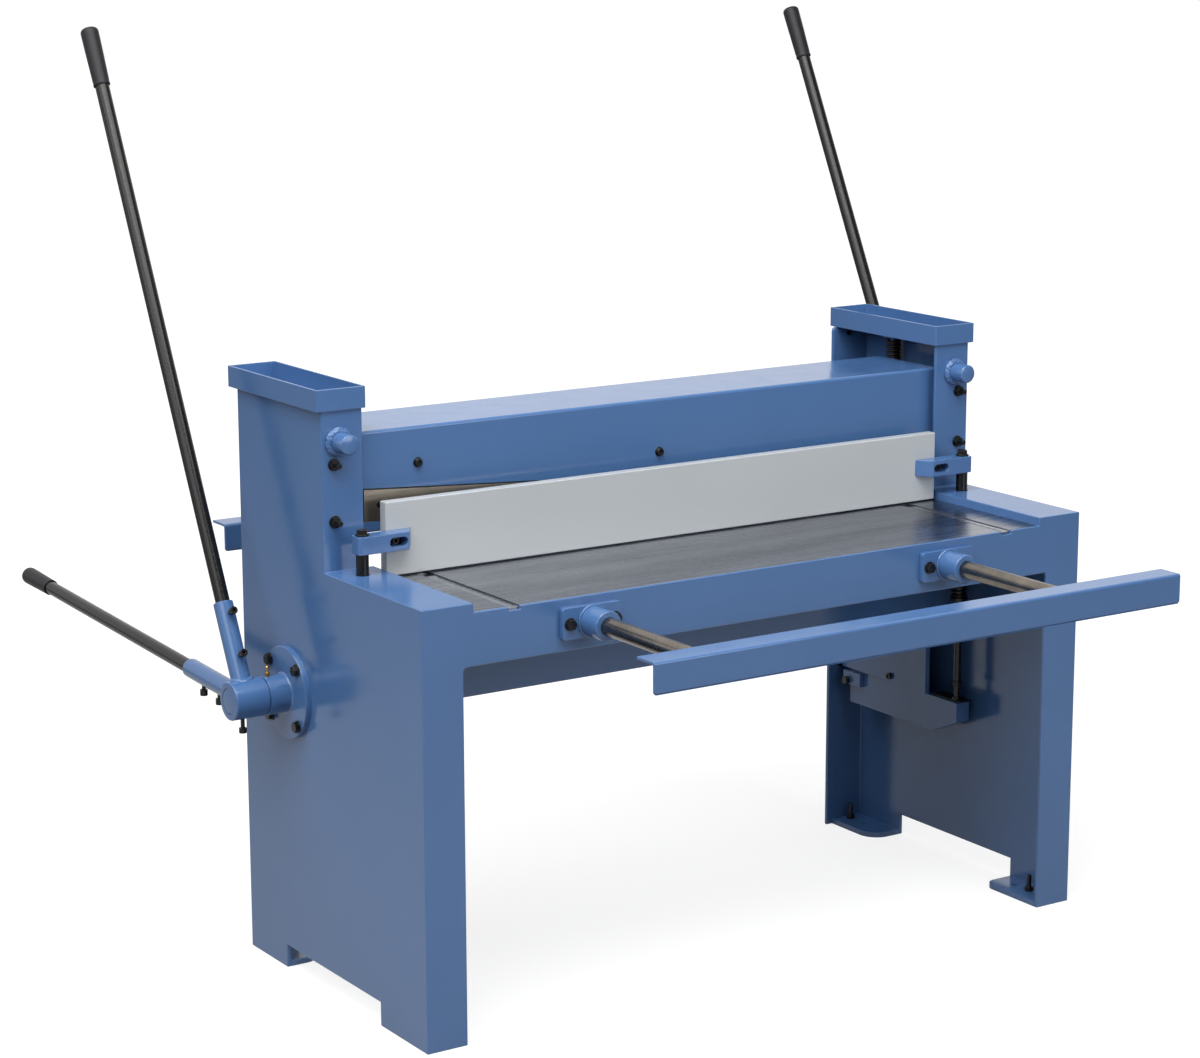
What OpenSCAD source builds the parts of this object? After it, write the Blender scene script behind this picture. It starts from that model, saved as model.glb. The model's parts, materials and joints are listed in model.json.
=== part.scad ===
// Hand lever guillotine shear for sheet metal.
// X runs along the blades, Y runs from the operator to the back, Z is up.
// The origin lies on the floor, in the middle of the four anchor holes.
// Right-hand pieces are drawn first and the left-hand ones are mirrored in X.

/* [Side frames] */
// Width over the two side plates
frame_w = 1540; // [1440:10:1640]
// Depth of the side frames
frame_d = 700; // [660:5:800]
// Height of the towers
tower_top = 1131; // [1110:1:1300]
// Depth of the shoulders, from the front face back to the towers
shoulder_d = 360; // [358:1:366]
// Width of a tower's front wall, outer face to inner edge
tower_w = 86; // [82:1:92]
// Width of a tower's rear wall, outer face to inner edge
rear_wall_w = 101; // [90:1:104]
// Width of a front leg, outer face to inner edge
leg_w = 85; // [80:1:100]
// Thickness of the side plates
side_t = 8; // [6:0.5:10]
// Thickness of the leg and tower walls
wall_t = 8; // [6:0.5:10]
// Height of the shoulders in front of the towers
shoulder_top = 828; // [824:1:850]
// Width of a shoulder, outer face to inner edge
shoulder_w = 107; // [104:1:115]
// Thickness of the shoulder caps
shoulder_t = 6; // [5:0.5:8]
// Depth of the lip under the shoulder's inner edge
shoulder_lip = 38; // [30:1:48]

/* [Feet] */
// Height of the cut-out between the feet of a side plate
arch_h = 46; // [30:1:80]
// Length of a front foot
front_foot = 174; // [150:1:220]
// Length of a rear foot
rear_foot = 153; // [130:1:200]
// Distance of the front foot plates' ends from the ends of the feet
foot_short = 10; // [5:1:30]
// Radius at the front foot plates' inner tips
foot_tip_r = 22; // [10:1:40]
// Thickness of the foot plates
foot_t = 12; // [8:0.5:16]
// Anchor hole distance from the outer face
anchor_in = 46; // [40:1:50]
// Front anchor hole distance from the front face
anchor_front = 114; // [100:1:130]
// Rear anchor hole distance from the rear face
anchor_rear = 76; // [70:1:90]
// Anchor hole diameter
anchor_d = 14; // [8:0.5:18]
// Levelling screw distance from the outer face
level_in = 49; // [44:1:52]
// Front levelling screw distance from the front face
level_front = 66; // [50:1:80]
// Rear levelling screw distance from the rear face
level_rear = 28; // [24:1:40]
// Levelling screw diameter
level_d = 10; // [8:0.5:12]
// Height of the levelling screws above the foot plates
level_rise = 35; // [25:1:60]

/* [Table] */
// Working height of the table
table_z = 811; // [800:1:822]
// Thickness of the table plate
table_t = 25; // [16:1:28]
// Height of the front apron
apron_h = 99; // [90:1:130]
// Radius in the corners under the apron
apron_r = 22; // [10:1:40]
// Thickness of the plate under the back of the table
web_t = 12; // [8:1:16]
// Depth of that plate below the table plate
web_h = 240; // [150:5:300]
// Number of ribs under the table on each side
rib_pairs = 2; // [1:1:2]
// Thickness of the ribs under the table
table_rib_t = 10; // [6:0.5:14]
// Distance of the scale grooves from the sides of the table
groove_in = 86; // [60:1:120]
// Width of a scale groove
groove_w = 25; // [15:0.5:32]
// Depth of a scale groove
groove_depth = 4; // [3:0.25:6]
// Thickness of the inlaid strips
strip_t = 2.4; // [1:0.1:2.8]
// Distance of the inlaid strips' ends in front of the towers
strip_end = 62; // [50:1:150]

/* [Blades] */
// Thickness of the lower blade
lower_blade_t = 14; // [10:0.5:15]
// Height of the lower blade
lower_blade_h = 60; // [40:1:80]
// Thickness of the upper blade
upper_blade_t = 14; // [10:0.5:18]
// Height of the upper blade
upper_blade_h = 62; // [50:1:80]
// Rake of the upper blade in degrees
rake = 3.815; // [2:0.1:4.2]
// Length of the upper blade beyond each side of the table
blade_over = 9; // [6:0.5:12]
// Opening over the lower blade at the low end, at rest
blade_open = 10; // [6:0.5:14]
// Depth the high end passes below the lower blade at the end of a cut
blade_overlap = 5.6; // [3:0.1:8]
// Number of screws along a blade
blade_screws = 8; // [4:1:12]
// Distance of the end screws from the blade ends
blade_screw_in = 34; // [18:1:60]
// Diameter of the blade screw heads
blade_screw_d = 13; // [10:0.5:18]
// Depth of the blade screw heads
blade_screw_h = 7; // [4:0.5:9]

/* [Upper beam] */
// Clear depth between the upper beam and the towers' rear walls
beam_clear = 109; // [100:1:160]
// Height of the beam's top face at rest
beam_top = 1080; // [1060:1:1100]
// Thickness of the beam's plates
beam_t = 8; // [6:0.5:12]
// Distance the upper blade stands in front of the beam
blade_proud = 6; // [4:0.5:8]
// Height of the beam's back plate
beam_back_h = 158; // [120:1:158]
// Gap between the front plate and the top of the blade
blade_line = 2; // [0.3:0.1:4]
// Thickness of the bar behind the upper blade
holder_t = 24; // [15:1:40]
// Rise of that bar above the blade
holder_rise = 40; // [20:1:60]
// Gap between the lower edges of that bar and the blade
holder_inset = 12; // [5:1:20]
// Number of ribs in the beam
rib_count = 4; // [2:1:6]
// Thickness of the ribs
rib_t = 8; // [6:0.5:12]
// Distance of the outer face screws from the middle
face_screw_x = 552; // [300:1:600]
// Height of the face screws above the beam's lower edge
face_screw_rise = 46; // [30:1:60]
// Diameter of the face screws' heads
face_screw_d = 20; // [14:0.5:26]

/* [Carriage] */
// Thickness of the cheeks that carry the beam
cheek_t = 12; // [8:0.5:14]
// Distance of a cheek's inner face from the side plate's outer face
cheek_in = 76; // [75:0.5:80]
// Clear depth between the cheeks and the towers' rear walls
cheek_clear = 16; // [12:1:26]
// Height of the cheeks' lower edge at rest
cheek_bottom = 370; // [340:1:380]
// Depth of the step in a cheek behind the beam
cheek_step = 30; // [25:1:60]
// Height of a lift arm
arm_h = 78; // [50:1:90]
// Width of a lift arm
arm_w = 36; // [30:1:40]
// Wall of a lift arm
arm_t = 6; // [4:0.5:8]
// Distance a lift arm reaches in front of the cheek
arm_reach = 98; // [92:1:110]
// Distance a lift arm's end stays in front of the cheek's rear edge
arm_back = 22; // [10:1:40]
// Height of the slope under a lift arm's front end
arm_nose_h = 36; // [15:1:45]
// Length of that slope
arm_nose_l = 80; // [30:1:100]
// Thickness of the black pads on the lift arms
pad_t = 3; // [2:0.5:6]
// Height of the slide shoes on the cheeks
shoe_h = 180; // [120:1:200]
// Depth of the slide shoes
shoe_d = 20; // [12:1:30]
// Top of the slide shoes below the beam's top
shoe_drop = 20; // [15:1:40]

/* [Guides] */
// Width of the guide bars in the towers
gib_w = 24; // [18:0.5:28]
// Length of the front guide bars
gib_len = 350; // [330:1:370]
// Distance of the guide bars' top from the tower's top
gib_top = 11; // [8:1:30]
// Distance of the rear guide bars' top from the tower's top
rear_guide_top = 86; // [82:1:110]
// Length of the rear guide bars
rear_guide_len = 474; // [440:1:500]
// Depth of the groove that holds a cheek's rear edge
guide_groove = 12; // [6:0.5:16]
// Distance of the adjusting screws from the outer face
gib_screw_in = 25; // [22:0.5:30]
// Height of the upper adjusting screws
gib_screw_hi = 1030; // [1000:1:1045]
// Height of the lower adjusting screws
gib_screw_lo = 922; // [890:1:940]
// Diameter of the adjusting screws
gib_screw_d = 10; // [8:0.5:12]

/* [Hold-down] */
// Thickness of the hold-down bar
hold_t = 22; // [12:1:26]
// Height of the hold-down bar
hold_h = 141; // [110:1:150]
// Gap between the hold-down bar and the blade
hold_gap = 33; // [30:1:40]
// Gap between the hold-down bar and the table at rest
hold_lift = 2.5; // [2.2:0.1:3]
// Gap at each end of the hold-down bar
hold_end = 6; // [3:0.5:12]
// Depth and height of the square arms
hold_arm = 34; // [28:1:40]
// Height of the arms' lower face above the table
hold_arm_z = 57; // [50:1:70]
// Length of the arms along the front
hold_arm_l = 106; // [90:1:112]
// Extra length of the arms along the bar
hold_arm_skew = 22; // [0:1:30]
// Distance of the posts from the outer face
post_in = 53; // [50:1:56]
// Diameter of the posts
post_d = 24; // [18:0.5:26]
// Diameter of the lower rods
post_rod_d = 17; // [12:0.5:20]
// Diameter of the spring collars
post_collar_d = 38; // [34:0.5:42]
// Height of the spring collars' top
post_collar_z = 598; // [560:1:640]
// Height of the adjusting couplings' top
post_nut_z = 415; // [405:1:440]
// Length of the slots in the arms
arm_slot_l = 38; // [26:1:44]
// Width of the slots in the arms
arm_slot_w = 17; // [14.5:0.5:20]
// Distance of the slots from the arms' inner ends
arm_slot_in = 22; // [20:1:24]

/* [Lever shaft] */
// Height of the shaft
shaft_z = 567; // [550:1:580]
// Distance of the shaft behind the front of the towers
shaft_in = 151; // [145:1:160]
// Diameter of the shaft
shaft_d = 50; // [36:1:54]
// Half of the turn of the levers in degrees
half_turn = 35; // [33:0.5:40]
// Diameter of the crank rollers
roller_d = 26; // [18:0.5:30]
// Diameter of the crank pins
crank_pin_d = 14; // [8:0.5:16]
// Thickness of the cranks
crank_t = 20; // [12:0.5:24]
// Diameter of a crank around the shaft
crank_hub_d = 84; // [76:1:96]
// Diameter of a crank around its pin
crank_eye_d = 38; // [32:1:44]

/* [Levers] */
// Diameter of the lever hubs
hub_d = 75; // [66:1:84]
// Length of the lever hubs
hub_l = 71; // [56:1:90]
// Lean of the front levers from upright in degrees
front_lean = 26.4; // [15:0.2:35]
// Rise of the rear levers from level in degrees
rear_rise = 2.4; // [0:0.2:12]
// Length of the front levers from the shaft
front_lever_l = 1375; // [900:5:1500]
// Length of the rear levers from the shaft
rear_lever_l = 1040; // [700:5:1200]
// Diameter of the levers
lever_d = 28; // [22:0.5:32]
// Diameter of the lever sockets
socket_d = 38; // [36:0.5:44]
// Length of the front sockets from the shaft
front_socket_l = 191; // [185:1:260]
// Length of the rear sockets from the shaft
rear_socket_l = 235; // [220:1:300]
// Diameter of the grips
grip_d = 36; // [30:0.5:44]
// Length of the grips
grip_l = 122; // [90:1:160]
// Diameter of the clamping screws
clamp_d = 8; // [6:0.5:10]

/* [Bearings] */
// Diameter of the bearing flanges
flange_d = 180; // [170:1:200]
// Thickness of the bearing flanges
flange_t = 12; // [8:0.5:16]
// Distance a bearing stands out of the side plate
bearing_l = 58; // [45:1:70]
// Pitch circle of the flange screws
flange_pcd = 156; // [140:1:164]
// Size of the flange screws
flange_screw_d = 12; // [8:0.5:14]

/* [Front support] */
// Length of the front bar
front_bar_l = 1192; // [900:2:1300]
// Distance of the front bar from the front face
front_reach = 472; // [300:1:600]
// Height of the front bar's front leg
front_bar_h = 57; // [56:1:80]
// Width of the front bar's top leg
front_bar_w = 53; // [40:1:80]
// Thickness of both angle bars
angle_t = 5; // [4:0.5:8]
// Distance between the two support rods
rod_span = 836; // [600:2:860]
// Diameter of the support rods
rod_d = 34; // [20:0.5:36]
// Diameter of the support rods' stepped ends
rod_end_d = 18; // [12:0.5:20]
// Length of the support rods' stepped ends
rod_end_l = 28; // [15:1:40]
// Height of the support rods
rod_z = 765; // [758:1:766]
// Length of the support rods behind the front face
rod_tail = 30; // [20:1:30]
// Length of the socket plates beyond their screws
plate_edge = 15.5; // [12:0.5:25]
// Height of the socket plates
socket_plate_h = 60; // [56:1:70]
// Thickness of the socket plates
socket_plate_t = 12; // [8:0.5:16]
// Diameter of the socket bosses
boss_d = 57; // [50:0.5:60]
// Length of the socket bosses with their plates
boss_l = 66; // [40:1:90]
// Distance between the screws of a socket plate
plate_screw_span = 98; // [94:1:104]
// Size of the socket plate screws
plate_screw_d = 12; // [8:0.5:12]

/* [Rear gauge] */
// Distance of the rear gauge bar's ends from the outer faces
rear_bar_in = 50; // [20:5:80]
// Distance of the rear gauge bar behind the rear face
rear_reach = 172; // [160:1:240]
// Height of the rear gauge bar's stop face
rear_bar_h = 55; // [45:1:70]
// Width of the rear gauge bar's top leg
rear_bar_w = 55; // [40:1:70]
// Height of the rear gauge bar above the table
rear_bar_up = 13; // [8:1:20]
// Diameter of the rear gauge rods
rear_rod_d = 20; // [12:0.5:20]
// Distance of the rear gauge rods from the outer face
rear_rod_in = 116; // [115:0.5:120]
// Length of the rear gauge rods inside the rear face
rear_rod_tail = 98; // [60:1:100]
// Length of the rear rod brackets
bracket_l = 40; // [30:1:60]
// Diameter of the rear rod brackets
bracket_d = 36; // [28:1:40]
// Height of the rear tie plate
tie_h = 80; // [50:1:120]
// Thickness of the rear tie plate
tie_t = 10; // [6:0.5:14]
// Height of the rear tie's lower edge above the table
tie_up = 21; // [18:1:40]

/* [Trays] */
// Height of the trays on the towers
tray_h = 41; // [25:1:60]
// Wall of the trays
tray_t = 4; // [2:0.5:6]
// Overhang of a tray beside the tower
tray_side = 11; // [4:1:14]
// Overhang of a tray inside the tower
tray_inner = 6; // [2:1:10]
// Overhang of a tray in front of the tower
tray_front = 5; // [2:1:10]
// Overhang of a tray behind the tower
tray_rear = 16.5; // [5:0.5:25]

/* [Tower stubs] */
// Diameter of the round stubs
stub_d = 38; // [28:1:44]
// Length of the round stubs
stub_l = 45; // [30:1:60]
// Distance of the round stubs from the outer face
stub_in = 36; // [34:1:44]
// Height of the round stubs
stub_z = 1072; // [1060:1:1090]

/* [Springs] */
// Wire of the hold-down springs
hold_wire = 4; // [3:0.25:4.5]
// Curls of the hold-down springs
hold_curls = 20; // [12:1:20]
// Wire of the return springs
return_wire = 7; // [4:0.25:8]
// Outer diameter of the return springs
return_od = 32; // [28:1:36]
// Curls of the return springs
return_curls = 22; // [12:1:22]
// Distance of the return springs in front of the rear face
return_in = 131; // [100:1:140]
// Length of a return spring
return_len = 210; // [180:1:240]

/* [Hidden] */
$fn = 64;

// Clearances: a shaft in its bore, moving pieces side by side, a screw or rod in its hole
run = 0.05;
gap = 0.3;
slip = 0.2;

// Colours
blue = [0.34, 0.45, 0.62];
grey = [0.68, 0.70, 0.72];
steel = [0.50, 0.50, 0.49];
bright = [0.66, 0.64, 0.61];
black = [0.08, 0.08, 0.09];
brass = [0.75, 0.60, 0.30];

// Side frames and table
half_w = frame_w / 2;
front_y = -(anchor_front + frame_d - anchor_rear) / 2;
side_in = half_w - side_t;
leg_in = half_w - leg_w;
tower_in = half_w - tower_w;
rear_wall_in = half_w - rear_wall_w;
table_half = half_w - shoulder_w;
cap_z = shoulder_top - shoulder_t;
lip_z = shoulder_top - shoulder_lip;
apron_z = table_z - apron_h;
table_bottom = table_z - table_t;
tower_wall_y = shoulder_d + wall_t;
table_back = tower_wall_y - 2;
rear_wall_y = frame_d - wall_t;
groove_x = table_half - groove_in;
groove_z = table_z - groove_depth;

// Blades and beam
blade_y = table_back + lower_blade_t;
blade_half = table_half + blade_over;
rake_tan = tan(rake);
stroke = blade_open + 2 * table_half * rake_tan + blade_overlap;
beam_y = blade_y + blade_proud;
beam_rear = rear_wall_y - beam_clear;
holder_y = blade_y + upper_blade_t;
holder_back = holder_y + holder_t;

// Carriage
cheek_x = half_w - cheek_in;
cheek_out = cheek_x + cheek_t;
cheek_back = rear_wall_y - cheek_clear;
arm_x = cheek_x + cheek_t / 2;
arm_front = beam_y - arm_reach;
arm_rear = cheek_back - arm_back;
shoe_y = beam_y - 2;
shoe_top = beam_top - shoe_drop;
gib_x = half_w - gib_screw_in;
guide_top = tower_top - rear_guide_top;

// Hold-down
post_x = half_w - post_in;
hold_y = blade_y - hold_gap - hold_t;
post_y = hold_y - hold_arm / 2;
hold_z = table_z + hold_lift;
hold_drop = hold_lift - gap;
arm_z = table_z + hold_arm_z;
arm_out = post_x + post_d / 2 + 3;
arm_in = arm_out - hold_arm_l;
slot_x = arm_in + arm_slot_in;
post_foot_z = cheek_bottom + pad_t + gap;
hold_spring_r = (post_d / 2 + gap + hold_wire / 2) / cos(22.5);
hold_spring_l = lip_z - post_collar_z - 2 * slip;

// Lever shaft
shaft_y = shoulder_d + shaft_in;
crank_r = stroke / 2 / sin(half_turn);
crank_x = cheek_out + 8;
// Farthest that the crank pins stray from an even drop, which their slots allow for
even = sin(half_turn) / (half_turn * PI / 180);
stray_turn = acos(even);
stray = crank_r * (sin(stray_turn) - stray_turn * PI / 180 * even);
roller_slot_h = roller_d + 2 * (stray + gap);
shaft_slot_w = shaft_d + 6;
bearing_end = half_w + bearing_l;
hub_x = bearing_end + gap;
hub_end = hub_x + hub_l;
lever_x = hub_x + hub_l / 2;
front_a = 90 - front_lean;
rear_a = rear_rise;
socket_floor = hub_d / 2 + 6;

// Supports and springs
socket_plate_w = plate_screw_span + 2 * plate_edge;
rod_x = rod_span / 2;
rear_rod_x = half_w - rear_rod_in;
rear_bar_l = frame_w - 2 * rear_bar_in;
rear_bar_top = table_z + rear_bar_up;
rear_rod_z = rear_bar_top - rear_bar_h / 2;
bracket_t = 12;
tie_z = table_z + tie_up;
return_x = (cheek_out + side_in) / 2 + 4;
return_r = return_od / 2 - return_wire / 2;
return_y = frame_d - return_in;
return_top = tower_top - 12;
return_low = return_top - return_len;
seat_r = 0.625 * return_od;
plug_r = return_r * cos(22.5) - return_wire / 2 - gap;

// Lower edge of the upper blade at rest, and of the front plate above it
function blade_low(x) = table_z + blade_open + (table_half - x) * rake_tan;
function beam_low(x) = blade_low(x) + upper_blade_h;

// Pieces are laid out from the front face and then moved to the origin
module from_front() translate([0, front_y, 0]) children();
module both_sides() {
  children();
  mirror([1, 0, 0]) children();
}
module box(a, b) translate(a) cube([b[0] - a[0], b[1] - a[1], b[2] - a[2]]);
// Plate across X with its outline in Y and Z, and plate across Y with its outline in X and Z
module side_slab(x0, x1) translate([x0, 0, 0]) rotate([90, 0, 90]) linear_extrude(x1 - x0) children();
module face_slab(y0, y1) translate([0, y1, 0]) rotate([90, 0, 0]) linear_extrude(y1 - y0) children();
module x_rod(d, x0, x1) translate([x0, 0, 0]) rotate([0, 90, 0]) cylinder(d = d, h = x1 - x0);
module y_rod(d, y0, y1) translate([0, y0, 0]) rotate([-90, 0, 0]) cylinder(d = d, h = y1 - y0);
module z_rod(d, z0, z1) translate([0, 0, z0]) cylinder(d = d, h = z1 - z0);
// Hexagon by its width across flats
module hex(af, h) cylinder(d = af / cos(30), h = h, $fn = 6);
// Hexagon head with its washer, standing on z = 0, and a cap head with its socket
module hex_head(d) {
  cylinder(d = d * 2, h = 2);
  translate([0, 0, 2]) hex(d * 1.5, d * 0.65);
}
module cap_head(d, h) difference() {
  cylinder(d = d, h = h);
  translate([0, 0, h * 0.5]) hex(d * 0.45, h);
}
// Edge between the side and top of an outline, filled inwards with a concave radius
module inner_fillet(r) difference() {
  square(r);
  translate([r, r]) circle(r = r);
}

// One unbroken round spring, closed by three quarters of a turn at each end
function spring_z(a, n, w, len) = let(
    e = 0.75 * (w + 0.6),
    body = len - w - 2 * e)
  w / 2 + (a < 0.75 ? e * a / 0.75 : a > n + 0.75 ? e + body + e * (a - n - 0.75) / 0.75
    : e + body * (a - 0.75) / n);
module spring(r, w, n, len) {
  rings = 8 * n + 12;
  sides = 6;
  pts = [for (i = [0:rings]) for (k = [0:sides - 1]) let(
      a = i / 8,
      reach = r + w / 2 * cos(360 * k / sides))
    [reach * cos(360 * a), reach * sin(360 * a), spring_z(a, n, w, len) + w / 2 * sin(360 * k / sides)]];
  walls = [for (i = [0:rings - 1]) for (k = [0:sides - 1]) let(
      j = (k + 1) % sides,
      a = i * sides + k,
      b = i * sides + j,
      c = (i + 1) * sides + j,
      d = (i + 1) * sides + k) each [[a, c, b], [a, d, c]]];
  last = rings * sides;
  caps = [for (k = [1:sides - 2]) each [[0, k, k + 1], [last, last + k + 1, last + k]]];
  polyhedron(points = pts, faces = concat(walls, caps));
  // Least rise of the wire over one whole turn, less the wire itself
  echo("least gap between the curls", min([for (i = [0:rings - 8])
    spring_z(i / 8 + 1, n, w, len) - spring_z(i / 8, n, w, len) - w]));
}

// Side frames
module side_plates() color(blue) from_front() both_sides() difference() {
  side_slab(side_in, half_w) polygon([[0, 0], [front_foot, 0], [front_foot, arch_h],
    [frame_d - rear_foot, arch_h], [frame_d - rear_foot, 0], [frame_d, 0], [frame_d, tower_top],
    [shoulder_d, tower_top], [shoulder_d, cap_z], [0, cap_z]]);
  translate([0, shaft_y, shaft_z]) x_rod(shaft_d + 10, side_in - 1, half_w + 1);
  flange_holes(side_in - 1, half_w + 1, flange_screw_d + 2 * slip);
}
// Four rods on the pitch circle of the bearing flanges
module flange_holes(x0, x1, d) translate([0, shaft_y, shaft_z]) for (a = [45:90:315])
  rotate([a, 0, 0]) translate([0, flange_pcd / 2, 0]) x_rod(d, x0, x1);
module front_legs() color(blue) from_front() both_sides() face_slab(0, wall_t) {
  translate([leg_in, 0]) square([side_in - leg_in, cap_z]);
  translate([table_half, apron_z]) square([leg_in - table_half, cap_z - apron_z]);
  translate([leg_in, apron_z]) mirror([1, 1]) inner_fillet(min(apron_r, leg_in - table_half));
}
module apron() color(blue) from_front() difference() {
  box([-table_half, 0, apron_z], [table_half, wall_t, table_z]);
  both_sides() box([groove_x - groove_w / 2, -1, groove_z - 3],
    [groove_x + groove_w / 2, wall_t + 1, table_z + 1]);
  both_sides() translate([rod_x, 0, rod_z]) y_rod(rod_d + 2, -1, wall_t + 1);
  plate_screw_places() y_rod(plate_screw_d + 2 * slip, -1, wall_t + 1);
}
module shoulders() color(blue) from_front() both_sides() difference() {
  union() {
    box([table_half, 0, cap_z], [half_w, shoulder_d, shoulder_top]);
    box([table_half, wall_t, lip_z], [table_half + shoulder_t, shoulder_d, cap_z]);
  }
  translate([post_x, post_y, 0]) z_rod(post_d + 1, cap_z - 1, shoulder_top + 1);
}
module tower_fronts() color(blue) from_front() both_sides() difference() {
  box([tower_in, shoulder_d, lip_z], [side_in, tower_wall_y, tower_top]);
  for (z = [gib_screw_hi, gib_screw_lo]) translate([gib_x, 0, z])
    y_rod(gib_screw_d + 2 * slip, shoulder_d - 1, tower_wall_y + 1);
}
module rear_columns() color(blue) from_front() both_sides() difference() {
  face_slab(rear_wall_y, frame_d) difference() {
    translate([rear_wall_in, 0]) square([side_in - rear_wall_in, tower_top]);
    translate([rear_wall_in, tower_top]) mirror([0, 1]) inner_fillet(8);
  }
  guide_bolt_places() y_rod(8 + 2 * slip, rear_wall_y - 1, frame_d + 1);
}
foot_end = front_foot - foot_short;
module foot_plates() color(blue) from_front() both_sides() difference() {
  linear_extrude(foot_t) {
    difference() {
      translate([leg_in, wall_t]) square([side_in - leg_in, foot_end - wall_t]);
      translate([leg_in, foot_end]) mirror([0, 1]) inner_fillet(foot_tip_r);
    }
    translate([side_in, foot_end]) mirror([1, 0]) inner_fillet(foot_short);
    difference() {
      translate([tower_in, frame_d - rear_foot]) square([side_in - tower_in, rear_foot - wall_t]);
      translate([tower_in, frame_d - rear_foot]) inner_fillet(0.29 * rear_foot);
    }
  }
  for (y = [anchor_front, frame_d - anchor_rear]) translate([half_w - anchor_in, y, 0])
    z_rod(anchor_d, -1, foot_t + 1);
  level_places() z_rod(level_d + 2 * run, -1, foot_t + 1);
}
module level_places() for (y = [level_front, frame_d - level_rear])
  translate([half_w - level_in, y, 0]) children();
module levelling_screws() color(black) from_front() both_sides() level_places() {
  z_rod(level_d, 0, foot_t + level_rise);
  translate([0, 0, foot_t]) hex(level_d * 1.7, level_d * 0.9);
}
module tower_stubs() color(blue) from_front() both_sides()
  translate([half_w - stub_in, shoulder_d, stub_z]) rotate([90, 0, 0]) {
    cylinder(d = stub_d, h = stub_l);
    cylinder(d1 = stub_d + 20, d2 = stub_d, h = 14);
  }
tray_in = tower_in - tray_inner;
tray_y0 = shoulder_d - tray_front;
tray_y1 = frame_d + tray_rear;
module tower_trays() color(blue) from_front() both_sides() difference() {
  box([tray_in, tray_y0, tower_top], [half_w + tray_side, tray_y1, tower_top + tray_h]);
  box([tray_in + tray_t, tray_y0 + tray_t, tower_top + tray_t],
    [half_w + tray_side - tray_t, tray_y1 - tray_t, tower_top + tray_h + 1]);
}

// Table
module table_plate() color(steel) from_front() difference() {
  box([-table_half, wall_t, table_bottom], [table_half, table_back, table_z]);
  both_sides() box([groove_x - groove_w / 2, wall_t - 1, groove_z],
    [groove_x + groove_w / 2, table_back - 14, table_z + 1]);
}
module scale_strips() color(bright) from_front() both_sides()
  box([groove_x - groove_w / 2 + slip, 0, groove_z],
    [groove_x + groove_w / 2 - slip, shoulder_d - strip_end, groove_z + strip_t]);
module table_web() color(blue) from_front() {
  box([-side_in, table_back - web_t, table_bottom - web_h], [side_in, table_back, table_bottom]);
  both_sides() for (i = [0:rib_pairs - 1]) let(x = rod_x * (0.55 + 0.75 * i))
    box([x - table_rib_t / 2, wall_t, apron_z], [x + table_rib_t / 2, table_back - web_t, table_bottom]);
}
// Places of the screws along a blade, and a sunk screw whose head lies half a millimetre down
function screw_x(i, half) = -half + blade_screw_in
  + i * (2 * half - 2 * blade_screw_in) / (blade_screws - 1);
module lower_screw_places() for (i = [0:blade_screws - 1])
  translate([screw_x(i, table_half), blade_y - gap, table_z - lower_blade_h / 2])
    rotate([-90, 0, 0]) children();
module upper_screw_places() for (i = [0:blade_screws - 1]) let(x = screw_x(i, blade_half))
  translate([x, blade_y, blade_low(x) + upper_blade_h / 2]) rotate([90, 0, 0]) children();
module sunk_head() translate([0, 0, -blade_screw_h]) cap_head(blade_screw_d, blade_screw_h - 0.5);
module sunk_hole() translate([0, 0, -blade_screw_h])
  cylinder(d = blade_screw_d + 2 * slip, h = blade_screw_h + 1);
module lower_blade() color(bright) from_front() difference() {
  box([-table_half, table_back, table_z - lower_blade_h], [table_half, blade_y - gap, table_z]);
  lower_screw_places() sunk_hole();
}
module lower_blade_screws() color(black) from_front() lower_screw_places() sunk_head();

// Bearings
module bearings() color(blue) from_front() both_sides() difference() {
  translate([0, shaft_y, shaft_z]) {
    x_rod(flange_d, half_w, half_w + flange_t);
    x_rod(hub_d, half_w, bearing_end);
    x_rod(shaft_d + 9, side_in - 4, half_w);
  }
  translate([0, shaft_y, shaft_z]) x_rod(shaft_d + 2 * run, side_in - 5, bearing_end + 1);
  flange_holes(half_w - 1, half_w + flange_t + 1, flange_screw_d + 2 * slip);
  nipple_place() z_rod(6 + 2 * slip, shaft_d / 2 - 2, hub_d);
}
module nipple_place() translate([half_w + 0.8 * bearing_l, shaft_y, shaft_z]) children();
module bearing_screws() color(black) from_front() both_sides()
  translate([half_w + flange_t, shaft_y, shaft_z]) for (a = [45:90:315])
    rotate([a, 0, 0]) translate([0, flange_pcd / 2, 0]) rotate([0, 90, 0]) {
      hex_head(flange_screw_d);
      z_rod(flange_screw_d, -flange_t - side_t - 3, 0);
    }
module grease_nipples() color(brass) from_front() both_sides() nipple_place() {
  z_rod(6, shaft_d / 2 + 3, hub_d / 2 + 8);
  translate([0, 0, hub_d / 2]) hex(9, 7);
  z_rod(4.5, hub_d / 2 + 8, hub_d / 2 + 16);
  translate([0, 0, hub_d / 2 + 17]) sphere(d = 7, $fn = 32);
}

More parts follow.
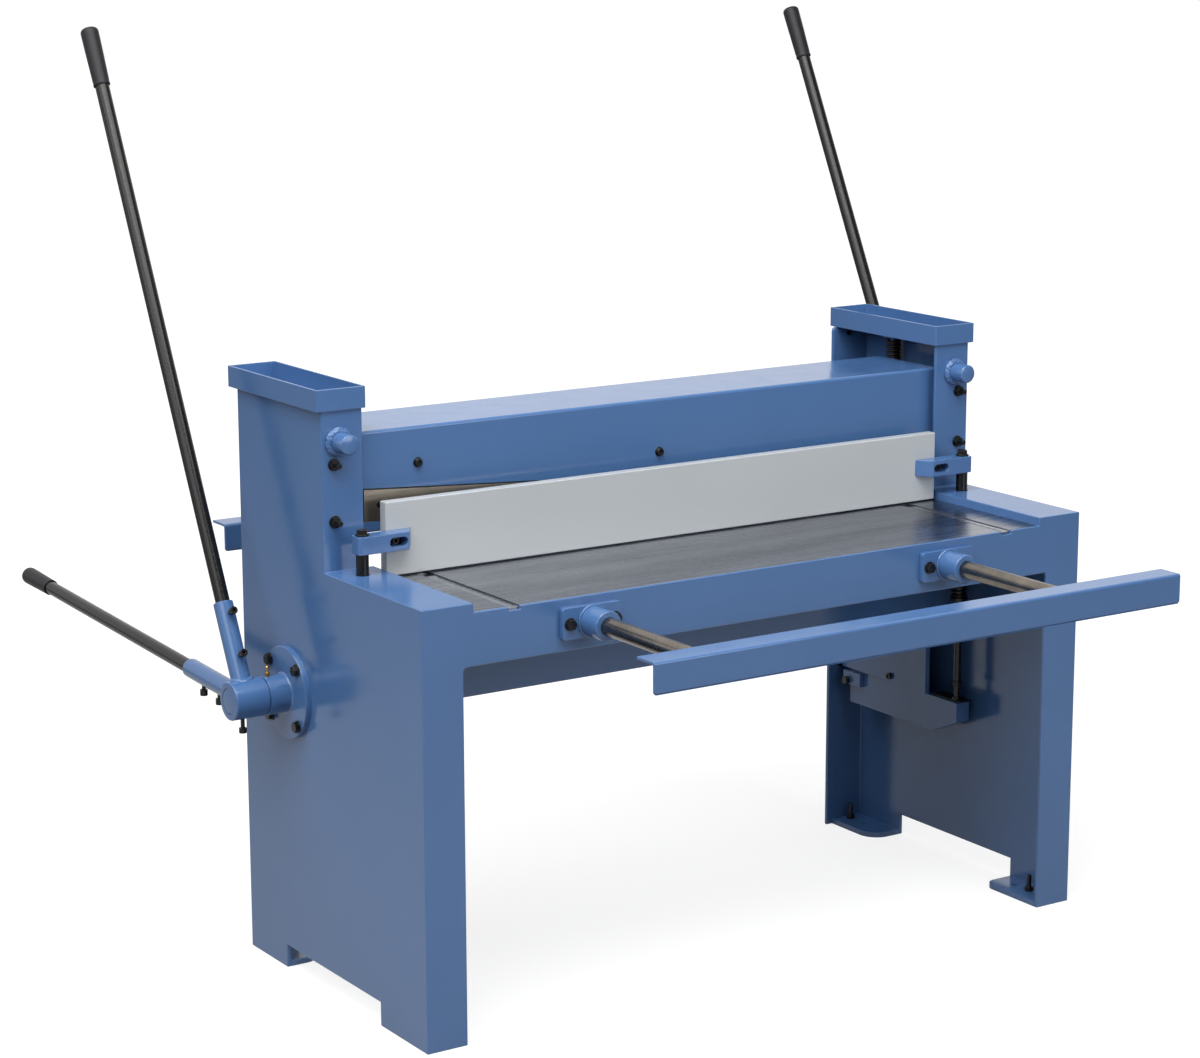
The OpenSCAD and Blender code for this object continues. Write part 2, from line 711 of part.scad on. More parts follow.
// Guides in the towers
module front_guides() color(steel) from_front() both_sides()
  box([gib_x - gib_w / 2, tower_wall_y + slip, tower_top - gib_top - gib_len],
    [gib_x + gib_w / 2, shoe_y - gap, tower_top - gib_top]);
module rear_guides() color(steel) from_front() both_sides() difference() {
  box([cheek_x - 6, cheek_back - guide_groove, guide_top - rear_guide_len],
    [cheek_out + 6, rear_wall_y, guide_top]);
  box([cheek_x - gap, cheek_back - guide_groove - 1, guide_top - rear_guide_len - 1],
    [cheek_out + gap, cheek_back + gap, guide_top + 1]);
  guide_bolt_places() y_rod(8 + 2 * slip, cheek_back + 2, frame_d);
}
module guide_bolt_places() for (z = [guide_top - 15, guide_top - 0.232 * rear_guide_len,
    guide_top - rear_guide_len * 0.6, guide_top - rear_guide_len + 15])
  translate([cheek_x + cheek_t / 2, 0, z]) children();
module guide_screws() color(black) from_front() both_sides() {
  for (z = [gib_screw_hi, gib_screw_lo]) translate([gib_x, 0, z]) {
    y_rod(gib_screw_d, shoulder_d - 24, tower_wall_y + slip);
    translate([0, shoulder_d, 0]) rotate([90, 0, 0]) hex_head(gib_screw_d * 1.2);
  }
  guide_bolt_places() {
    y_rod(8, cheek_back + 3, frame_d);
    translate([0, frame_d, 0]) rotate([-90, 0, 0]) hex_head(8);
  }
  translate([tower_in + 26, rear_wall_y, tower_top - 15]) rotate([90, 0, 0]) cap_head(11, 4);
  translate([cheek_x + cheek_t / 2, rear_wall_y, cheek_bottom + 3]) rotate([90, 0, 0]) hex(12, 7);
}
module post_bushes() color(steel) from_front() both_sides() translate([post_x, post_y, 0]) difference() {
  z_rod(post_collar_d, lip_z, cap_z);
  z_rod(post_d + 2 * run, lip_z - 1, cap_z + 1);
}

// Sockets of the front support
module plate_screw_places() both_sides() for (s = [-1, 1])
  translate([rod_x + s * plate_screw_span / 2, 0, rod_z]) children();
module rod_sockets() color(blue) from_front() difference() {
  both_sides() translate([rod_x, 0, rod_z]) {
    face_slab(-socket_plate_t, 0) round_plate(socket_plate_w, socket_plate_h, 6);
    y_rod(boss_d, -boss_l, 0);
  }
  both_sides() translate([rod_x, 0, rod_z]) y_rod(rod_d + 2 * run, -boss_l - 1, 1);
  plate_screw_places() y_rod(plate_screw_d + 2 * slip, -socket_plate_t - 1, 1);
}
module round_plate(w, h, r) {
  square([w - 2 * r, h], center = true);
  square([w, h - 2 * r], center = true);
  for (x = [-1, 1], y = [-1, 1]) translate([x * (w / 2 - r), y * (h / 2 - r)]) circle(r = r);
}
module socket_screws() color(black) from_front() plate_screw_places() {
  translate([0, -socket_plate_t, 0]) rotate([90, 0, 0]) hex_head(plate_screw_d);
  y_rod(plate_screw_d, -socket_plate_t, wall_t + 12);
  translate([0, wall_t, 0]) rotate([-90, 0, 0]) hex(plate_screw_d * 1.5, plate_screw_d * 0.8);
}

// Rear tie and the brackets of the gauge rods
module tie_places() both_sides() for (z = [tie_z + 20, tie_z + tie_h - 20])
  translate([side_in - 26, 0, z]) children();
module rear_tie() color(blue) from_front() difference() {
  box([-side_in + 6, frame_d, tie_z], [side_in - 6, frame_d + tie_t, tie_z + tie_h]);
  tie_places() y_rod(12 + 2 * slip, frame_d - 1, frame_d + tie_t + 1);
}
module bracket_places() both_sides() for (x = [tower_in + 24, side_in - 18])
  translate([x, frame_d, rear_rod_z]) children();
module tie_screws() color(black) from_front() {
  tie_places() {
    translate([0, frame_d + tie_t, 0]) rotate([-90, 0, 0]) hex_head(12);
    y_rod(12, frame_d, frame_d + tie_t);
  }
  bracket_places() {
    translate([0, bracket_t, 0]) rotate([-90, 0, 0]) hex_head(10);
    y_rod(10, 0, bracket_t);
  }
  both_sides() bracket_clamp_place() {
    z_rod(8, rear_rod_d / 2 + slip, bracket_d / 2 + 8);
    translate([0, 0, bracket_d / 2 + 8]) hex(13, 6);
  }
}
module bracket_clamp_place() translate([rear_rod_x, frame_d + bracket_t + bracket_l / 2, rear_rod_z])
  children();
module rear_brackets() color(blue) from_front() difference() {
  both_sides() {
    box([rear_rod_x - bracket_d / 2, frame_d, rear_rod_z - bracket_d / 2],
      [side_in - 4, frame_d + bracket_t, rear_rod_z + bracket_d / 2]);
    translate([rear_rod_x, 0, rear_rod_z]) y_rod(bracket_d, frame_d, frame_d + bracket_t + bracket_l);
  }
  both_sides() translate([rear_rod_x, 0, rear_rod_z])
    y_rod(rear_rod_d + 2 * run, frame_d - 1, frame_d + bracket_t + bracket_l + 1);
  both_sides() bracket_clamp_place() z_rod(8 + 2 * slip, 0, bracket_d);
  bracket_places() y_rod(10 + 2 * slip, -1, bracket_t + 1);
}

// Springs: the upper ends of the return springs hang in the towers
module spring_hangers() color(blue) from_front() both_sides() {
  box([return_x - seat_r, return_y - seat_r, return_top + slip], [side_in, return_y + seat_r, return_top + 1.5 * return_wire]);
  translate([return_x, return_y, 0]) z_rod(2 * plug_r, return_top - 3 * return_wire, return_top + slip);
}
module spring_seats() color(blue) from_front() both_sides() {
  box([cheek_out, return_y - seat_r, return_low - 2 * return_wire], [return_x + 0.9 * seat_r, return_y + seat_r, return_low - slip]);
  translate([return_x, return_y, 0]) z_rod(2 * plug_r, return_low - slip, return_low + 3 * return_wire);
}
module return_springs() color([0.3, 0.2, 0.15]) from_front() both_sides()
  translate([return_x, return_y, return_low]) spring(return_r, return_wire, return_curls, return_len);
module hold_springs() color(black) from_front() both_sides()
  translate([post_x, post_y, post_collar_z + slip]) spring(hold_spring_r, hold_wire, hold_curls, hold_spring_l);

// Upper beam
module beam_top() color(blue) from_front()
  box([-cheek_out, beam_y, beam_top - beam_t], [cheek_out, beam_rear, beam_top]);
module beam_front() color(blue) from_front() difference() {
  face_slab(beam_y, holder_y) polygon([[-cheek_x, beam_low(-cheek_x)], [cheek_x, beam_low(cheek_x)],
    [cheek_x, beam_top - beam_t], [-cheek_x, beam_top - beam_t]]);
  face_screw_places() y_rod(10 + 2 * slip, beam_y - 1, holder_y + 1);
}
module face_screw_places() for (x = [-face_screw_x, 0, face_screw_x])
  translate([x, 0, beam_low(x) + face_screw_rise]) children();
module face_screws() color(black) from_front() face_screw_places() {
  y_rod(10, beam_y, holder_y + 3);
  translate([0, beam_y, 0]) rotate([90, 0, 0]) difference() {
    cylinder(d1 = face_screw_d, d2 = face_screw_d - 5, h = 7);
    translate([0, 0, 3]) hex(7, 5);
  }
}
module beam_back() color(blue) from_front()
  box([-cheek_x, beam_rear - beam_t, beam_top - beam_t - beam_back_h],
    [cheek_x, beam_rear, beam_top - beam_t]);
module beam_ribs() color(blue) from_front() for (i = [0:rib_count - 1])
  let(x = -cheek_x + (i + 1) * 2 * cheek_x / (rib_count + 1), z = beam_low(x) + holder_rise)
    side_slab(x - rib_t / 2, x + rib_t / 2) polygon([[holder_y, beam_top - beam_t],
      [holder_y, z + rib_t], [holder_back, z + rib_t], [holder_back, z - 1.5 * holder_rise],
      [beam_rear - beam_t, beam_top - beam_t - beam_back_h + 10], [beam_rear - beam_t, beam_top - beam_t]]);
module blade_holder() color(blue) from_front() face_slab(holder_y, holder_back)
  polygon([[-blade_half, blade_low(-blade_half) + holder_inset],
    [blade_half, blade_low(blade_half) + holder_inset], [blade_half, beam_low(blade_half) + holder_rise],
    [-blade_half, beam_low(-blade_half) + holder_rise]]);
module upper_blade() color(bright) from_front() difference() {
  face_slab(blade_y, holder_y) polygon([[-blade_half, blade_low(-blade_half)],
    [blade_half, blade_low(blade_half)], [blade_half, beam_low(blade_half) - blade_line],
    [-blade_half, beam_low(-blade_half) - blade_line]]);
  upper_screw_places() sunk_hole();
}
module upper_blade_screws() color(black) from_front() upper_screw_places() sunk_head();

// Cheeks, slide shoes and lift arms
module cheeks() color(blue) from_front() both_sides() side_slab(cheek_x, cheek_out) difference() {
  polygon([[beam_y, cheek_bottom], [cheek_back, cheek_bottom], [cheek_back, beam_top - cheek_step],
    [beam_rear, beam_top - cheek_step], [beam_rear, beam_top - beam_t], [beam_y, beam_top - beam_t]]);
  // The shaft passes through here
  translate([shaft_y - shaft_slot_w / 2, shaft_z]) square([shaft_slot_w, stroke]);
  for (z = [0, stroke]) translate([shaft_y, shaft_z + z]) circle(d = shaft_slot_w);
  // The crank rollers move the cheeks here
  translate([shaft_y - crank_r, shaft_z + stroke / 2 - roller_slot_h / 2])
    square([crank_r * (1 - cos(half_turn)), roller_slot_h]);
  for (c = [1, cos(half_turn)]) translate([shaft_y - crank_r * c, shaft_z + stroke / 2])
    circle(d = roller_slot_h);
}
module slide_shoes() color(steel) from_front() both_sides()
  box([cheek_out, shoe_y, shoe_top - shoe_h], [side_in - 5, shoe_y + shoe_d, shoe_top]);
module lift_arms() color(blue) from_front() both_sides() difference() {
  side_slab(arm_x, arm_x + arm_w) arm_outline(0);
  side_slab(arm_x + arm_t, arm_x + arm_w + 1) arm_outline(arm_t);
}
module arm_outline(inset) polygon([[arm_front + inset, cheek_bottom - inset],
  [arm_front + inset, cheek_bottom - arm_h + arm_nose_h + inset * 0.7],
  [arm_front + arm_nose_l + inset * 0.3, cheek_bottom - arm_h + inset],
  [arm_rear - inset, cheek_bottom - arm_h + inset], [arm_rear - inset, cheek_bottom - inset]]);
module arm_pads() color(black) from_front() both_sides()
  box([cheek_out + 1, arm_front - 2, cheek_bottom], [arm_x + arm_w + 4, beam_y - 10, cheek_bottom + pad_t]);
module arm_blocks() color(blue) from_front() both_sides()
  box([arm_x - 12, arm_rear - 0.63 * arm_h, cheek_bottom - 0.44 * arm_h], [arm_x, arm_rear + 10, cheek_bottom - 4]);
module carriage_screws() color(black) from_front() both_sides() {
  translate([cheek_x, shaft_y - 5, cheek_bottom + 14]) rotate([0, -90, 0]) cap_head(15, 7);
  translate([arm_x - 12, arm_rear - 6, cheek_bottom - 25]) rotate([0, -90, 0]) {
    cylinder(d = 17, h = 2);
    translate([0, 0, 2]) hex(16, 8);
  }
}

// Hold-down
module hold_down_bar() color(grey) from_front()
  box([-table_half + hold_end, hold_y, hold_z], [table_half - hold_end, hold_y + hold_t, hold_z + hold_h]);
module hold_down_arms() color(blue) from_front() both_sides() difference() {
  translate([0, 0, arm_z]) linear_extrude(hold_arm) difference() {
    polygon([[arm_in, hold_y - hold_arm], [arm_out, hold_y - hold_arm], [arm_out, hold_y],
      [arm_in - hold_arm_skew, hold_y]]);
    translate([arm_out, hold_y - hold_arm]) mirror([1, 0]) inner_fillet(8);
    translate([arm_out, hold_y]) mirror([1, 0]) mirror([0, 1]) inner_fillet(8);
  }
  translate([post_x, post_y, 0]) z_rod(post_d / 2 + 2 * slip, arm_z - 1, arm_z + hold_arm + 1);
  translate([slot_x, 0, arm_z + hold_arm / 2]) face_slab(hold_y - hold_arm - 1, hold_y + 1)
    slot_outline((arm_slot_l - arm_slot_w) / 2, arm_slot_w);
}
module slot_outline(s, w) {
  translate([-s, -w / 2]) square([2 * s, w]);
  for (x = [-s, s]) translate([x, 0]) circle(d = w);
}
module hold_down_posts() color(black) from_front() both_sides() translate([post_x, post_y, 0]) {
  z_rod(post_d / 2, arm_z, arm_z + hold_arm);
  z_rod(post_d, post_collar_z, arm_z);
  z_rod(post_collar_d, post_collar_z - 8, post_collar_z);
  z_rod(post_rod_d, post_nut_z, post_collar_z - 8);
  translate([0, 0, post_nut_z - 12]) hex(post_rod_d + 3, 12);
  z_rod(12, post_foot_z, post_nut_z - 12);
  z_rod(20, post_foot_z, post_foot_z + 5);
}
module hold_down_screws() color(black) from_front() both_sides() {
  translate([post_x, post_y, arm_z + hold_arm]) {
    cylinder(d = post_d + 3, h = 3);
    translate([0, 0, 3]) hex(19, 9);
  }
  translate([slot_x, hold_y, arm_z + hold_arm / 2]) rotate([90, 0, 0]) cap_head(14, 22);
}

// Lever shaft
module at_shaft() from_front() translate([0, shaft_y, shaft_z]) children();
// Rod in the plane of the levers; a turns it up from +Y
module lever_rod(a, d, r0, r1) translate([lever_x, 0, 0]) rotate([a, 0, 0]) y_rod(d, r0, r1);
module cross_shaft() color(steel) at_shaft() x_rod(shaft_d, -hub_end + 0.5, hub_end - 0.5);
module lever_hubs() color(blue) at_shaft() both_sides() difference() {
  union() {
    x_rod(hub_d, hub_x, hub_end);
    lever_rod(front_a, socket_d, 0, front_socket_l);
    lever_rod(rear_a, socket_d, 0, rear_socket_l);
  }
  x_rod(shaft_d + 2 * run, hub_x - 1, hub_end + 1);
  lever_rod(front_a, lever_d + 2 * run, socket_floor, front_socket_l + 1);
  lever_rod(rear_a, lever_d + 2 * run, socket_floor, rear_socket_l + 1);
  clamp_places() z_rod(clamp_d + 2 * slip, 0, socket_d);
  hub_screw_place() z_rod(clamp_d + 2 * slip, 0, hub_d);
}
module front_levers() color(black) at_shaft() both_sides()
  lever_rod(front_a, lever_d, socket_floor + slip, front_lever_l - 14);
module rear_levers() color(black) at_shaft() both_sides()
  lever_rod(rear_a, lever_d, socket_floor + slip, rear_lever_l - 14);
// Hollow grip with a rounded end, its tip at y = l
module grip(l) translate([0, l, 0]) rotate([90, 0, 0]) rotate_extrude() difference() {
  union() {
    square([grip_d / 2 - 8, 8]);
    translate([0, 8]) square([grip_d / 2, grip_l - 8]);
    translate([grip_d / 2 - 8, 8]) circle(r = 8);
  }
  translate([0, 14 - slip]) square([lever_d / 2 + run, grip_l]);
}
module lever_grips() color(black) at_shaft() both_sides() translate([lever_x, 0, 0]) {
  rotate([front_a, 0, 0]) grip(front_lever_l);
  rotate([rear_a, 0, 0]) grip(rear_lever_l);
}
// Clamping screws in the sockets, and the ones under the hubs; they stand along the local +Z
module clamp_places() translate([lever_x, 0, 0]) {
  rotate([front_a, 0, 0]) for (r = [0.425, 0.865] * front_socket_l) translate([0, r, 0]) children();
  rotate([rear_a, 0, 0]) mirror([0, 0, 1]) for (r = [0.47, 0.76] * rear_socket_l) translate([0, r, 0]) children();
}
module hub_screw_place() translate([lever_x + 7, 0, 0]) mirror([0, 0, 1]) children();
module clamp_screws() color(black) at_shaft() both_sides() {
  clamp_places() {
    z_rod(clamp_d, lever_d / 2 + slip, socket_d / 2 + 10);
    translate([0, 0, socket_d / 2 + 10]) cap_head(15, 12);
  }
  hub_screw_place() {
    z_rod(clamp_d, shaft_d / 2 + slip, hub_d / 2 + 18);
    translate([0, 0, hub_d / 2 + 18]) cap_head(15, 10);
  }
}
// Cranks with their pins and rollers
module cranks() color(steel) at_shaft() both_sides() difference() {
  rotate([-half_turn, 0, 0]) {
    x_rod(crank_hub_d, crank_x, crank_x + crank_t);
    box([crank_x, -crank_r, -crank_eye_d / 2], [crank_x + crank_t, 0, crank_eye_d / 2]);
    translate([0, -crank_r, 0]) {
      x_rod(crank_eye_d, crank_x, crank_x + crank_t);
      x_rod(crank_pin_d, cheek_x - 6, crank_x);
      x_rod(roller_d, cheek_x - 2, crank_x - 1);
    }
  }
  x_rod(shaft_d + 2 * run, crank_x - 1, crank_x + crank_t + 1);
}

// Angle bars and their rods
module angle_bar(len, w, h) translate([-len / 2, 0, 0]) rotate([90, 0, 90]) linear_extrude(len)
  difference() {
    polygon([[0, 0], [w, 0], [w, -angle_t], [angle_t, -angle_t], [angle_t, -h], [0, -h]]);
    mirror([0, 1]) inner_fillet(angle_t + 2);
  }
module front_bar() color(blue) from_front() translate([0, -front_reach, table_z])
  angle_bar(front_bar_l, front_bar_w, front_bar_h);
module front_rods() color(bright) from_front() both_sides() translate([rod_x, 0, rod_z]) {
    y_rod(rod_end_d, -front_reach + angle_t, rod_tail);
    y_rod(rod_d, -front_reach + angle_t + rod_end_l, rod_tail);
  }
module rear_bar() color(blue) from_front() translate([0, frame_d + rear_reach, rear_bar_top])
  angle_bar(rear_bar_l, rear_bar_w, rear_bar_h);
module rear_rods() color(bright) from_front() both_sides() translate([rear_rod_x, 0, rear_rod_z])
  y_rod(rear_rod_d, frame_d - rear_rod_tail, frame_d + rear_reach);

side_plates();
front_legs();
apron();
shoulders();
tower_fronts();
rear_columns();
foot_plates();
levelling_screws();
table_plate();
scale_strips();
table_web();
lower_blade();
lower_blade_screws();
tower_trays();
tower_stubs();
bearings();
bearing_screws();
grease_nipples();
front_guides();
rear_guides();
guide_screws();
post_bushes();
rod_sockets();
socket_screws();
rear_tie();
tie_screws();
rear_brackets();
spring_hangers();
return_springs();
hold_springs();
beam_top();
beam_front();
beam_back();
beam_ribs();
blade_holder();
upper_blade();
upper_blade_screws();
face_screws();
cheeks();
slide_shoes();
lift_arms();
arm_pads();
arm_blocks();
carriage_screws();
spring_seats();
hold_down_bar();
hold_down_arms();
hold_down_posts();
hold_down_screws();
cross_shaft();
lever_hubs();
front_levers();
rear_levers();
lever_grips();
clamp_screws();
cranks();
front_bar();
front_rods();
rear_bar();
rear_rods();
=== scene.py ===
# Looks of the hand lever shear: enamelled weldment, ground table, beam, levers and all the small parts.
# Sizes below are in millimetres: X along the blades, Y back from the front face, Z up from the floor.
import bpy, bmesh, json, math
from mathutils import Matrix, Vector, noise

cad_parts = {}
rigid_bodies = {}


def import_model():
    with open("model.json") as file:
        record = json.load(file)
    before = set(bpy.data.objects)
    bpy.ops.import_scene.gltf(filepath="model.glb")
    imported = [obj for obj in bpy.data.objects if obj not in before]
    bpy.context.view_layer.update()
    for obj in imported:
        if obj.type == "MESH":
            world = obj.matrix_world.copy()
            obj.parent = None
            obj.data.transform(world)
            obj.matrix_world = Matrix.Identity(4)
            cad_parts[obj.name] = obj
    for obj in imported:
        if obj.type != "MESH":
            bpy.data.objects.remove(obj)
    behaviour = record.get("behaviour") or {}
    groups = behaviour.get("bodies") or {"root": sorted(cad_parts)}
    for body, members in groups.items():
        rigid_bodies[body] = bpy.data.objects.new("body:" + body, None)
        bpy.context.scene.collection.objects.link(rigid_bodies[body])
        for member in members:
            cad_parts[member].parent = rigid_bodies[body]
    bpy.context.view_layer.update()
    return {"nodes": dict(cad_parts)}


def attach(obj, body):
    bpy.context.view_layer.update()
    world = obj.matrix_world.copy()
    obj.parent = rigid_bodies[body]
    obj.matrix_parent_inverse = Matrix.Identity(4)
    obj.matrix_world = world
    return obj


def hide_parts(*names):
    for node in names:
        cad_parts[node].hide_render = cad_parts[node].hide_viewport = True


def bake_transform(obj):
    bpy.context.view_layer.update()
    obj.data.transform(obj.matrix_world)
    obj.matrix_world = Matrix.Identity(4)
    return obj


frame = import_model()
print("frame loaded,", len(frame["nodes"]), "nodes")

frontFace = 369                                     # the front face lies this far in front of the origin
shaftY, shaftZ = 511, 567                           # axis of the lever shaft, it runs along X
rodX, rodZ = 418, 765                               # axis of the right-hand support rod
postX, postY = 717, 308                             # axis of the right-hand hold-down post
mergeGap = 0.00001                                  # metres, closer vertices become one
deg = math.radians


# Small helpers
def at(x, y, z):                                    # drawing millimetres to scene metres
    return Vector((x, y - frontFace, z)) / 1000


def calm():                                         # object mode with nothing selected
    if bpy.context.mode != "OBJECT":
        bpy.ops.object.mode_set(mode="OBJECT")
    bpy.ops.object.select_all(action="DESELECT")


def only(*pieces):                                  # these selected, the first one active
    calm()
    for piece in pieces:
        piece.select_set(True)
    bpy.context.view_layer.objects.active = pieces[0]


def added(name):                                    # names the new primitive and fixes its place in its mesh
    piece = bpy.context.object
    piece.name = piece.data.name = name
    bpy.ops.object.transform_apply(location=True, rotation=True, scale=True)
    return piece


def block(name, low, high):
    calm()
    a, b = at(*low), at(*high)
    bpy.ops.mesh.primitive_cube_add(size=1, location=(a + b) / 2, scale=b - a)
    return added(name)


def bar(name, start, end, diameter, sides=64):      # round bar between two points
    calm()
    a, b = at(*start), at(*end)
    turn = (b - a).to_track_quat("Z", "Y").to_euler()
    bpy.ops.mesh.primitive_cylinder_add(vertices=sides, radius=diameter / 2000, depth=(b - a).length,
                                        location=(a + b) / 2, rotation=turn)
    return added(name)


def place(piece, base, along):                      # local Z goes along, local X stays level, then applied
    z, x = Vector(along).normalized(), Vector((1, 0, 0))
    if abs(z.dot(x)) > 0.99:
        x = Vector((0, 1, 0))
    x = (x - z * x.dot(z)).normalized()
    turn = Matrix((x, z.cross(x), z)).transposed().to_4x4()
    only(piece)
    piece.matrix_world = Matrix.Translation(at(*base)) @ turn
    bpy.ops.object.transform_apply(location=True, rotation=True, scale=True)
    return piece


def turned(name, profile, base, along, steps=64):   # lathe work: (radius, height) points spun round the axis
    calm()
    bpy.ops.mesh.primitive_plane_add(size=0.001)
    piece = bpy.context.object
    piece.name = piece.data.name = name
    bpy.ops.object.mode_set(mode="EDIT")
    bpy.ops.mesh.select_mode(type="VERT")
    bpy.ops.mesh.select_all(action="SELECT")
    bpy.ops.mesh.merge(type="CENTER")
    r, h = profile[0]
    bpy.ops.transform.translate(value=(r / 1000, 0, h / 1000))
    for nextR, nextH in profile[1:]:
        step = ((nextR - r) / 1000, 0, (nextH - h) / 1000)
        bpy.ops.mesh.extrude_region_move(TRANSFORM_OT_translate={"value": step})
        r, h = nextR, nextH
    bpy.ops.mesh.select_all(action="SELECT")
    bpy.ops.mesh.spin(steps=steps, angle=math.tau, center=(0, 0, 0), axis=(0, 0, 1))
    bpy.ops.mesh.select_all(action="SELECT")
    bpy.ops.mesh.remove_doubles(threshold=mergeGap)
    bpy.ops.mesh.delete_loose(use_verts=True, use_edges=True, use_faces=False)
    bpy.ops.mesh.select_all(action="SELECT")
    bpy.ops.mesh.normals_make_consistent(inside=False)
    bpy.ops.object.mode_set(mode="OBJECT")
    return place(piece, base, along)


def pick(piece, kind, test):                        # edit mode, with what passes the test selected
    only(piece)
    bpy.ops.object.mode_set(mode="EDIT")
    bpy.ops.mesh.select_mode(type=kind)
    bpy.ops.mesh.select_all(action="DESELECT")
    mesh = bmesh.from_edit_mesh(piece.data)
    mm = lambda co: (co.x * 1000, co.y * 1000 + frontFace, co.z * 1000)
    if kind == "FACE":
        for face in mesh.faces:
            face.select_set(test(mm(face.calc_center_median()), face.normal))
    elif kind == "EDGE":
        for edge in mesh.edges:
            edge.select_set(test(mm(edge.verts[0].co), mm(edge.verts[1].co)))
    else:
        for vert in mesh.verts:
            vert.select_set(test(mm(vert.co)))
    mesh.select_flush_mode()
    bmesh.update_edit_mesh(piece.data)


def done():
    bpy.ops.object.mode_set(mode="OBJECT")


def bevelled(piece, width, segments, test):         # rounds the edges that pass the test
    pick(piece, "EDGE", test)
    bpy.ops.mesh.bevel(offset=width / 1000, segments=segments, affect="EDGES")
    done()


def shifted(piece, step, test):                     # moves the vertices that pass the test
    pick(piece, "VERT", test)
    bpy.ops.transform.translate(value=[length / 1000 for length in step])
    done()


def pulled(piece, step, test):                      # extrudes the faces that pass the test
    pick(piece, "FACE", test)
    bpy.ops.mesh.extrude_region_move(TRANSFORM_OT_translate={"value": [length / 1000 for length in step]})
    done()


def withModifier(piece, kind, **settings):          # adds one modifier and applies it
    only(piece)
    modifier = piece.modifiers.new(kind.title(), kind)
    for key, value in settings.items():
        setattr(modifier, key, value)
    bpy.ops.object.modifier_apply(modifier=modifier.name)


def weld(base, *others):                            # union of overlapping pieces
    for other in others:
        withModifier(base, "BOOLEAN", operation="UNION", solver="EXACT", object=other)
        bpy.data.objects.remove(other)


def cut(base, *tools):                              # takes the tools' shapes out of the piece
    for tool in tools:
        withModifier(base, "BOOLEAN", operation="DIFFERENCE", solver="EXACT", object=tool)
        bpy.data.objects.remove(tool)


def joined(base, *others):                          # one object, the shells left as they are
    only(base, *others)
    bpy.ops.object.join()
    return base


def tidyFaces(piece):                               # flat neighbours become one face
    pick(piece, "VERT", lambda p: True)
    bpy.ops.mesh.remove_doubles(threshold=mergeGap)
    bpy.ops.mesh.dissolve_limited(angle_limit=deg(0.5))
    done()


def mirrored(piece):                                # right-hand piece to both sides
    withModifier(piece, "MIRROR", use_axis=(True, False, False), use_mirror_merge=True,
                 merge_threshold=mergeGap)


def eased(piece, width, segments=2, limit=35):      # broken edges, then flat faces that stay flat
    if width:
        withModifier(piece, "BEVEL", width=width / 1000, segments=segments, limit_method="ANGLE",
                     angle_limit=deg(limit), use_clamp_overlap=False)
    only(piece)
    bpy.ops.object.shade_smooth_by_angle(angle=deg(50))
    withModifier(piece, "WEIGHTED_NORMAL", keep_sharp=True)


def dress(piece, finish, body, slot, *nodes):       # material, body and the nodes it stands for; slot is not used
    piece.data.materials.clear()
    piece.data.materials.append(finish)
    if body:
        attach(piece, body)
    if nodes:
        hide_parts(*nodes)


def softened(node, width, finish, body, slot):      # a merged copy of a CAD node, edges broken
    only(frame["nodes"][node])
    bpy.ops.object.duplicate()
    piece = bpy.context.object
    bpy.ops.object.parent_clear(type="CLEAR_KEEP_TRANSFORM")
    piece.name = piece.data.name = "eased." + node
    tidyFaces(piece)
    eased(piece, width, 2, 50)
    dress(piece, finish, body, slot, node)


def weldRing(name, base, along, radius, bead, saddle=0):     # hand-laid bead round a tube
    calm()
    steps = max(60, int(math.tau * radius / 1.2))   # about 1.2 mm long each
    bpy.ops.mesh.primitive_torus_add(major_radius=radius / 1000, minor_radius=bead / 1000,
                                     major_segments=steps, minor_segments=12)
    piece = added(name)
    for v in piece.data.vertices:
        t = math.atan2(v.co.y, v.co.x)
        ring = Vector((math.cos(t), math.sin(t), 0)) * radius / 1000
        # lumps 9 mm and 4 mm long, and the even ripple of the torch
        lump = noise.noise(v.co * 1000 / 9 + Vector((bead, radius, 0))) + 0.4 * noise.noise(v.co * 1000 / 4)
        ripple = 1 + 0.26 * lump + 0.04 * math.cos(t * round(radius * 0.9))
        v.co = ring + (v.co - ring) * ripple
        if saddle:                                  # follows the round hub that it sits on
            v.co.z += math.sqrt((saddle / 1000) ** 2 - (v.co.y) ** 2)
    return place(piece, base, along)


def aroundShaft(turn, radius):                      # Y and Z at an angle and distance from the lever shaft
    return shaftY + radius * math.cos(deg(turn)), shaftZ + radius * math.sin(deg(turn))


def aim(turn):                                      # the way a lever points
    return 0, math.cos(deg(turn)), math.sin(deg(turn))


# Materials
def hexColour(code):                                # sRGB hex to the linear values that sockets take
    parts = [int(code[i:i + 2], 16) / 255 for i in (1, 3, 5)]
    return [p / 12.92 if p <= 0.04045 else ((p + 0.055) / 1.055) ** 2.4 for p in parts] + [1]


def addNode(tree, kind, values={}, links={}, **settings):
    node = tree.nodes.new(kind)
    for key, value in settings.items():
        setattr(node, key, value)
    for key, value in values.items():
        node.inputs[key].default_value = value
    for key, source in links.items():
        tree.links.new(source, node.inputs[key])
    return node


def newFinish(name):                                # material, its tree, shader and object coordinates
    finish = bpy.data.materials.new(name)
    finish.use_nodes = True
    tree = finish.node_tree
    shader = tree.nodes["Principled BSDF"]
    where = addNode(tree, "ShaderNodeTexCoord").outputs["Object"]
    return finish, tree, shader, where


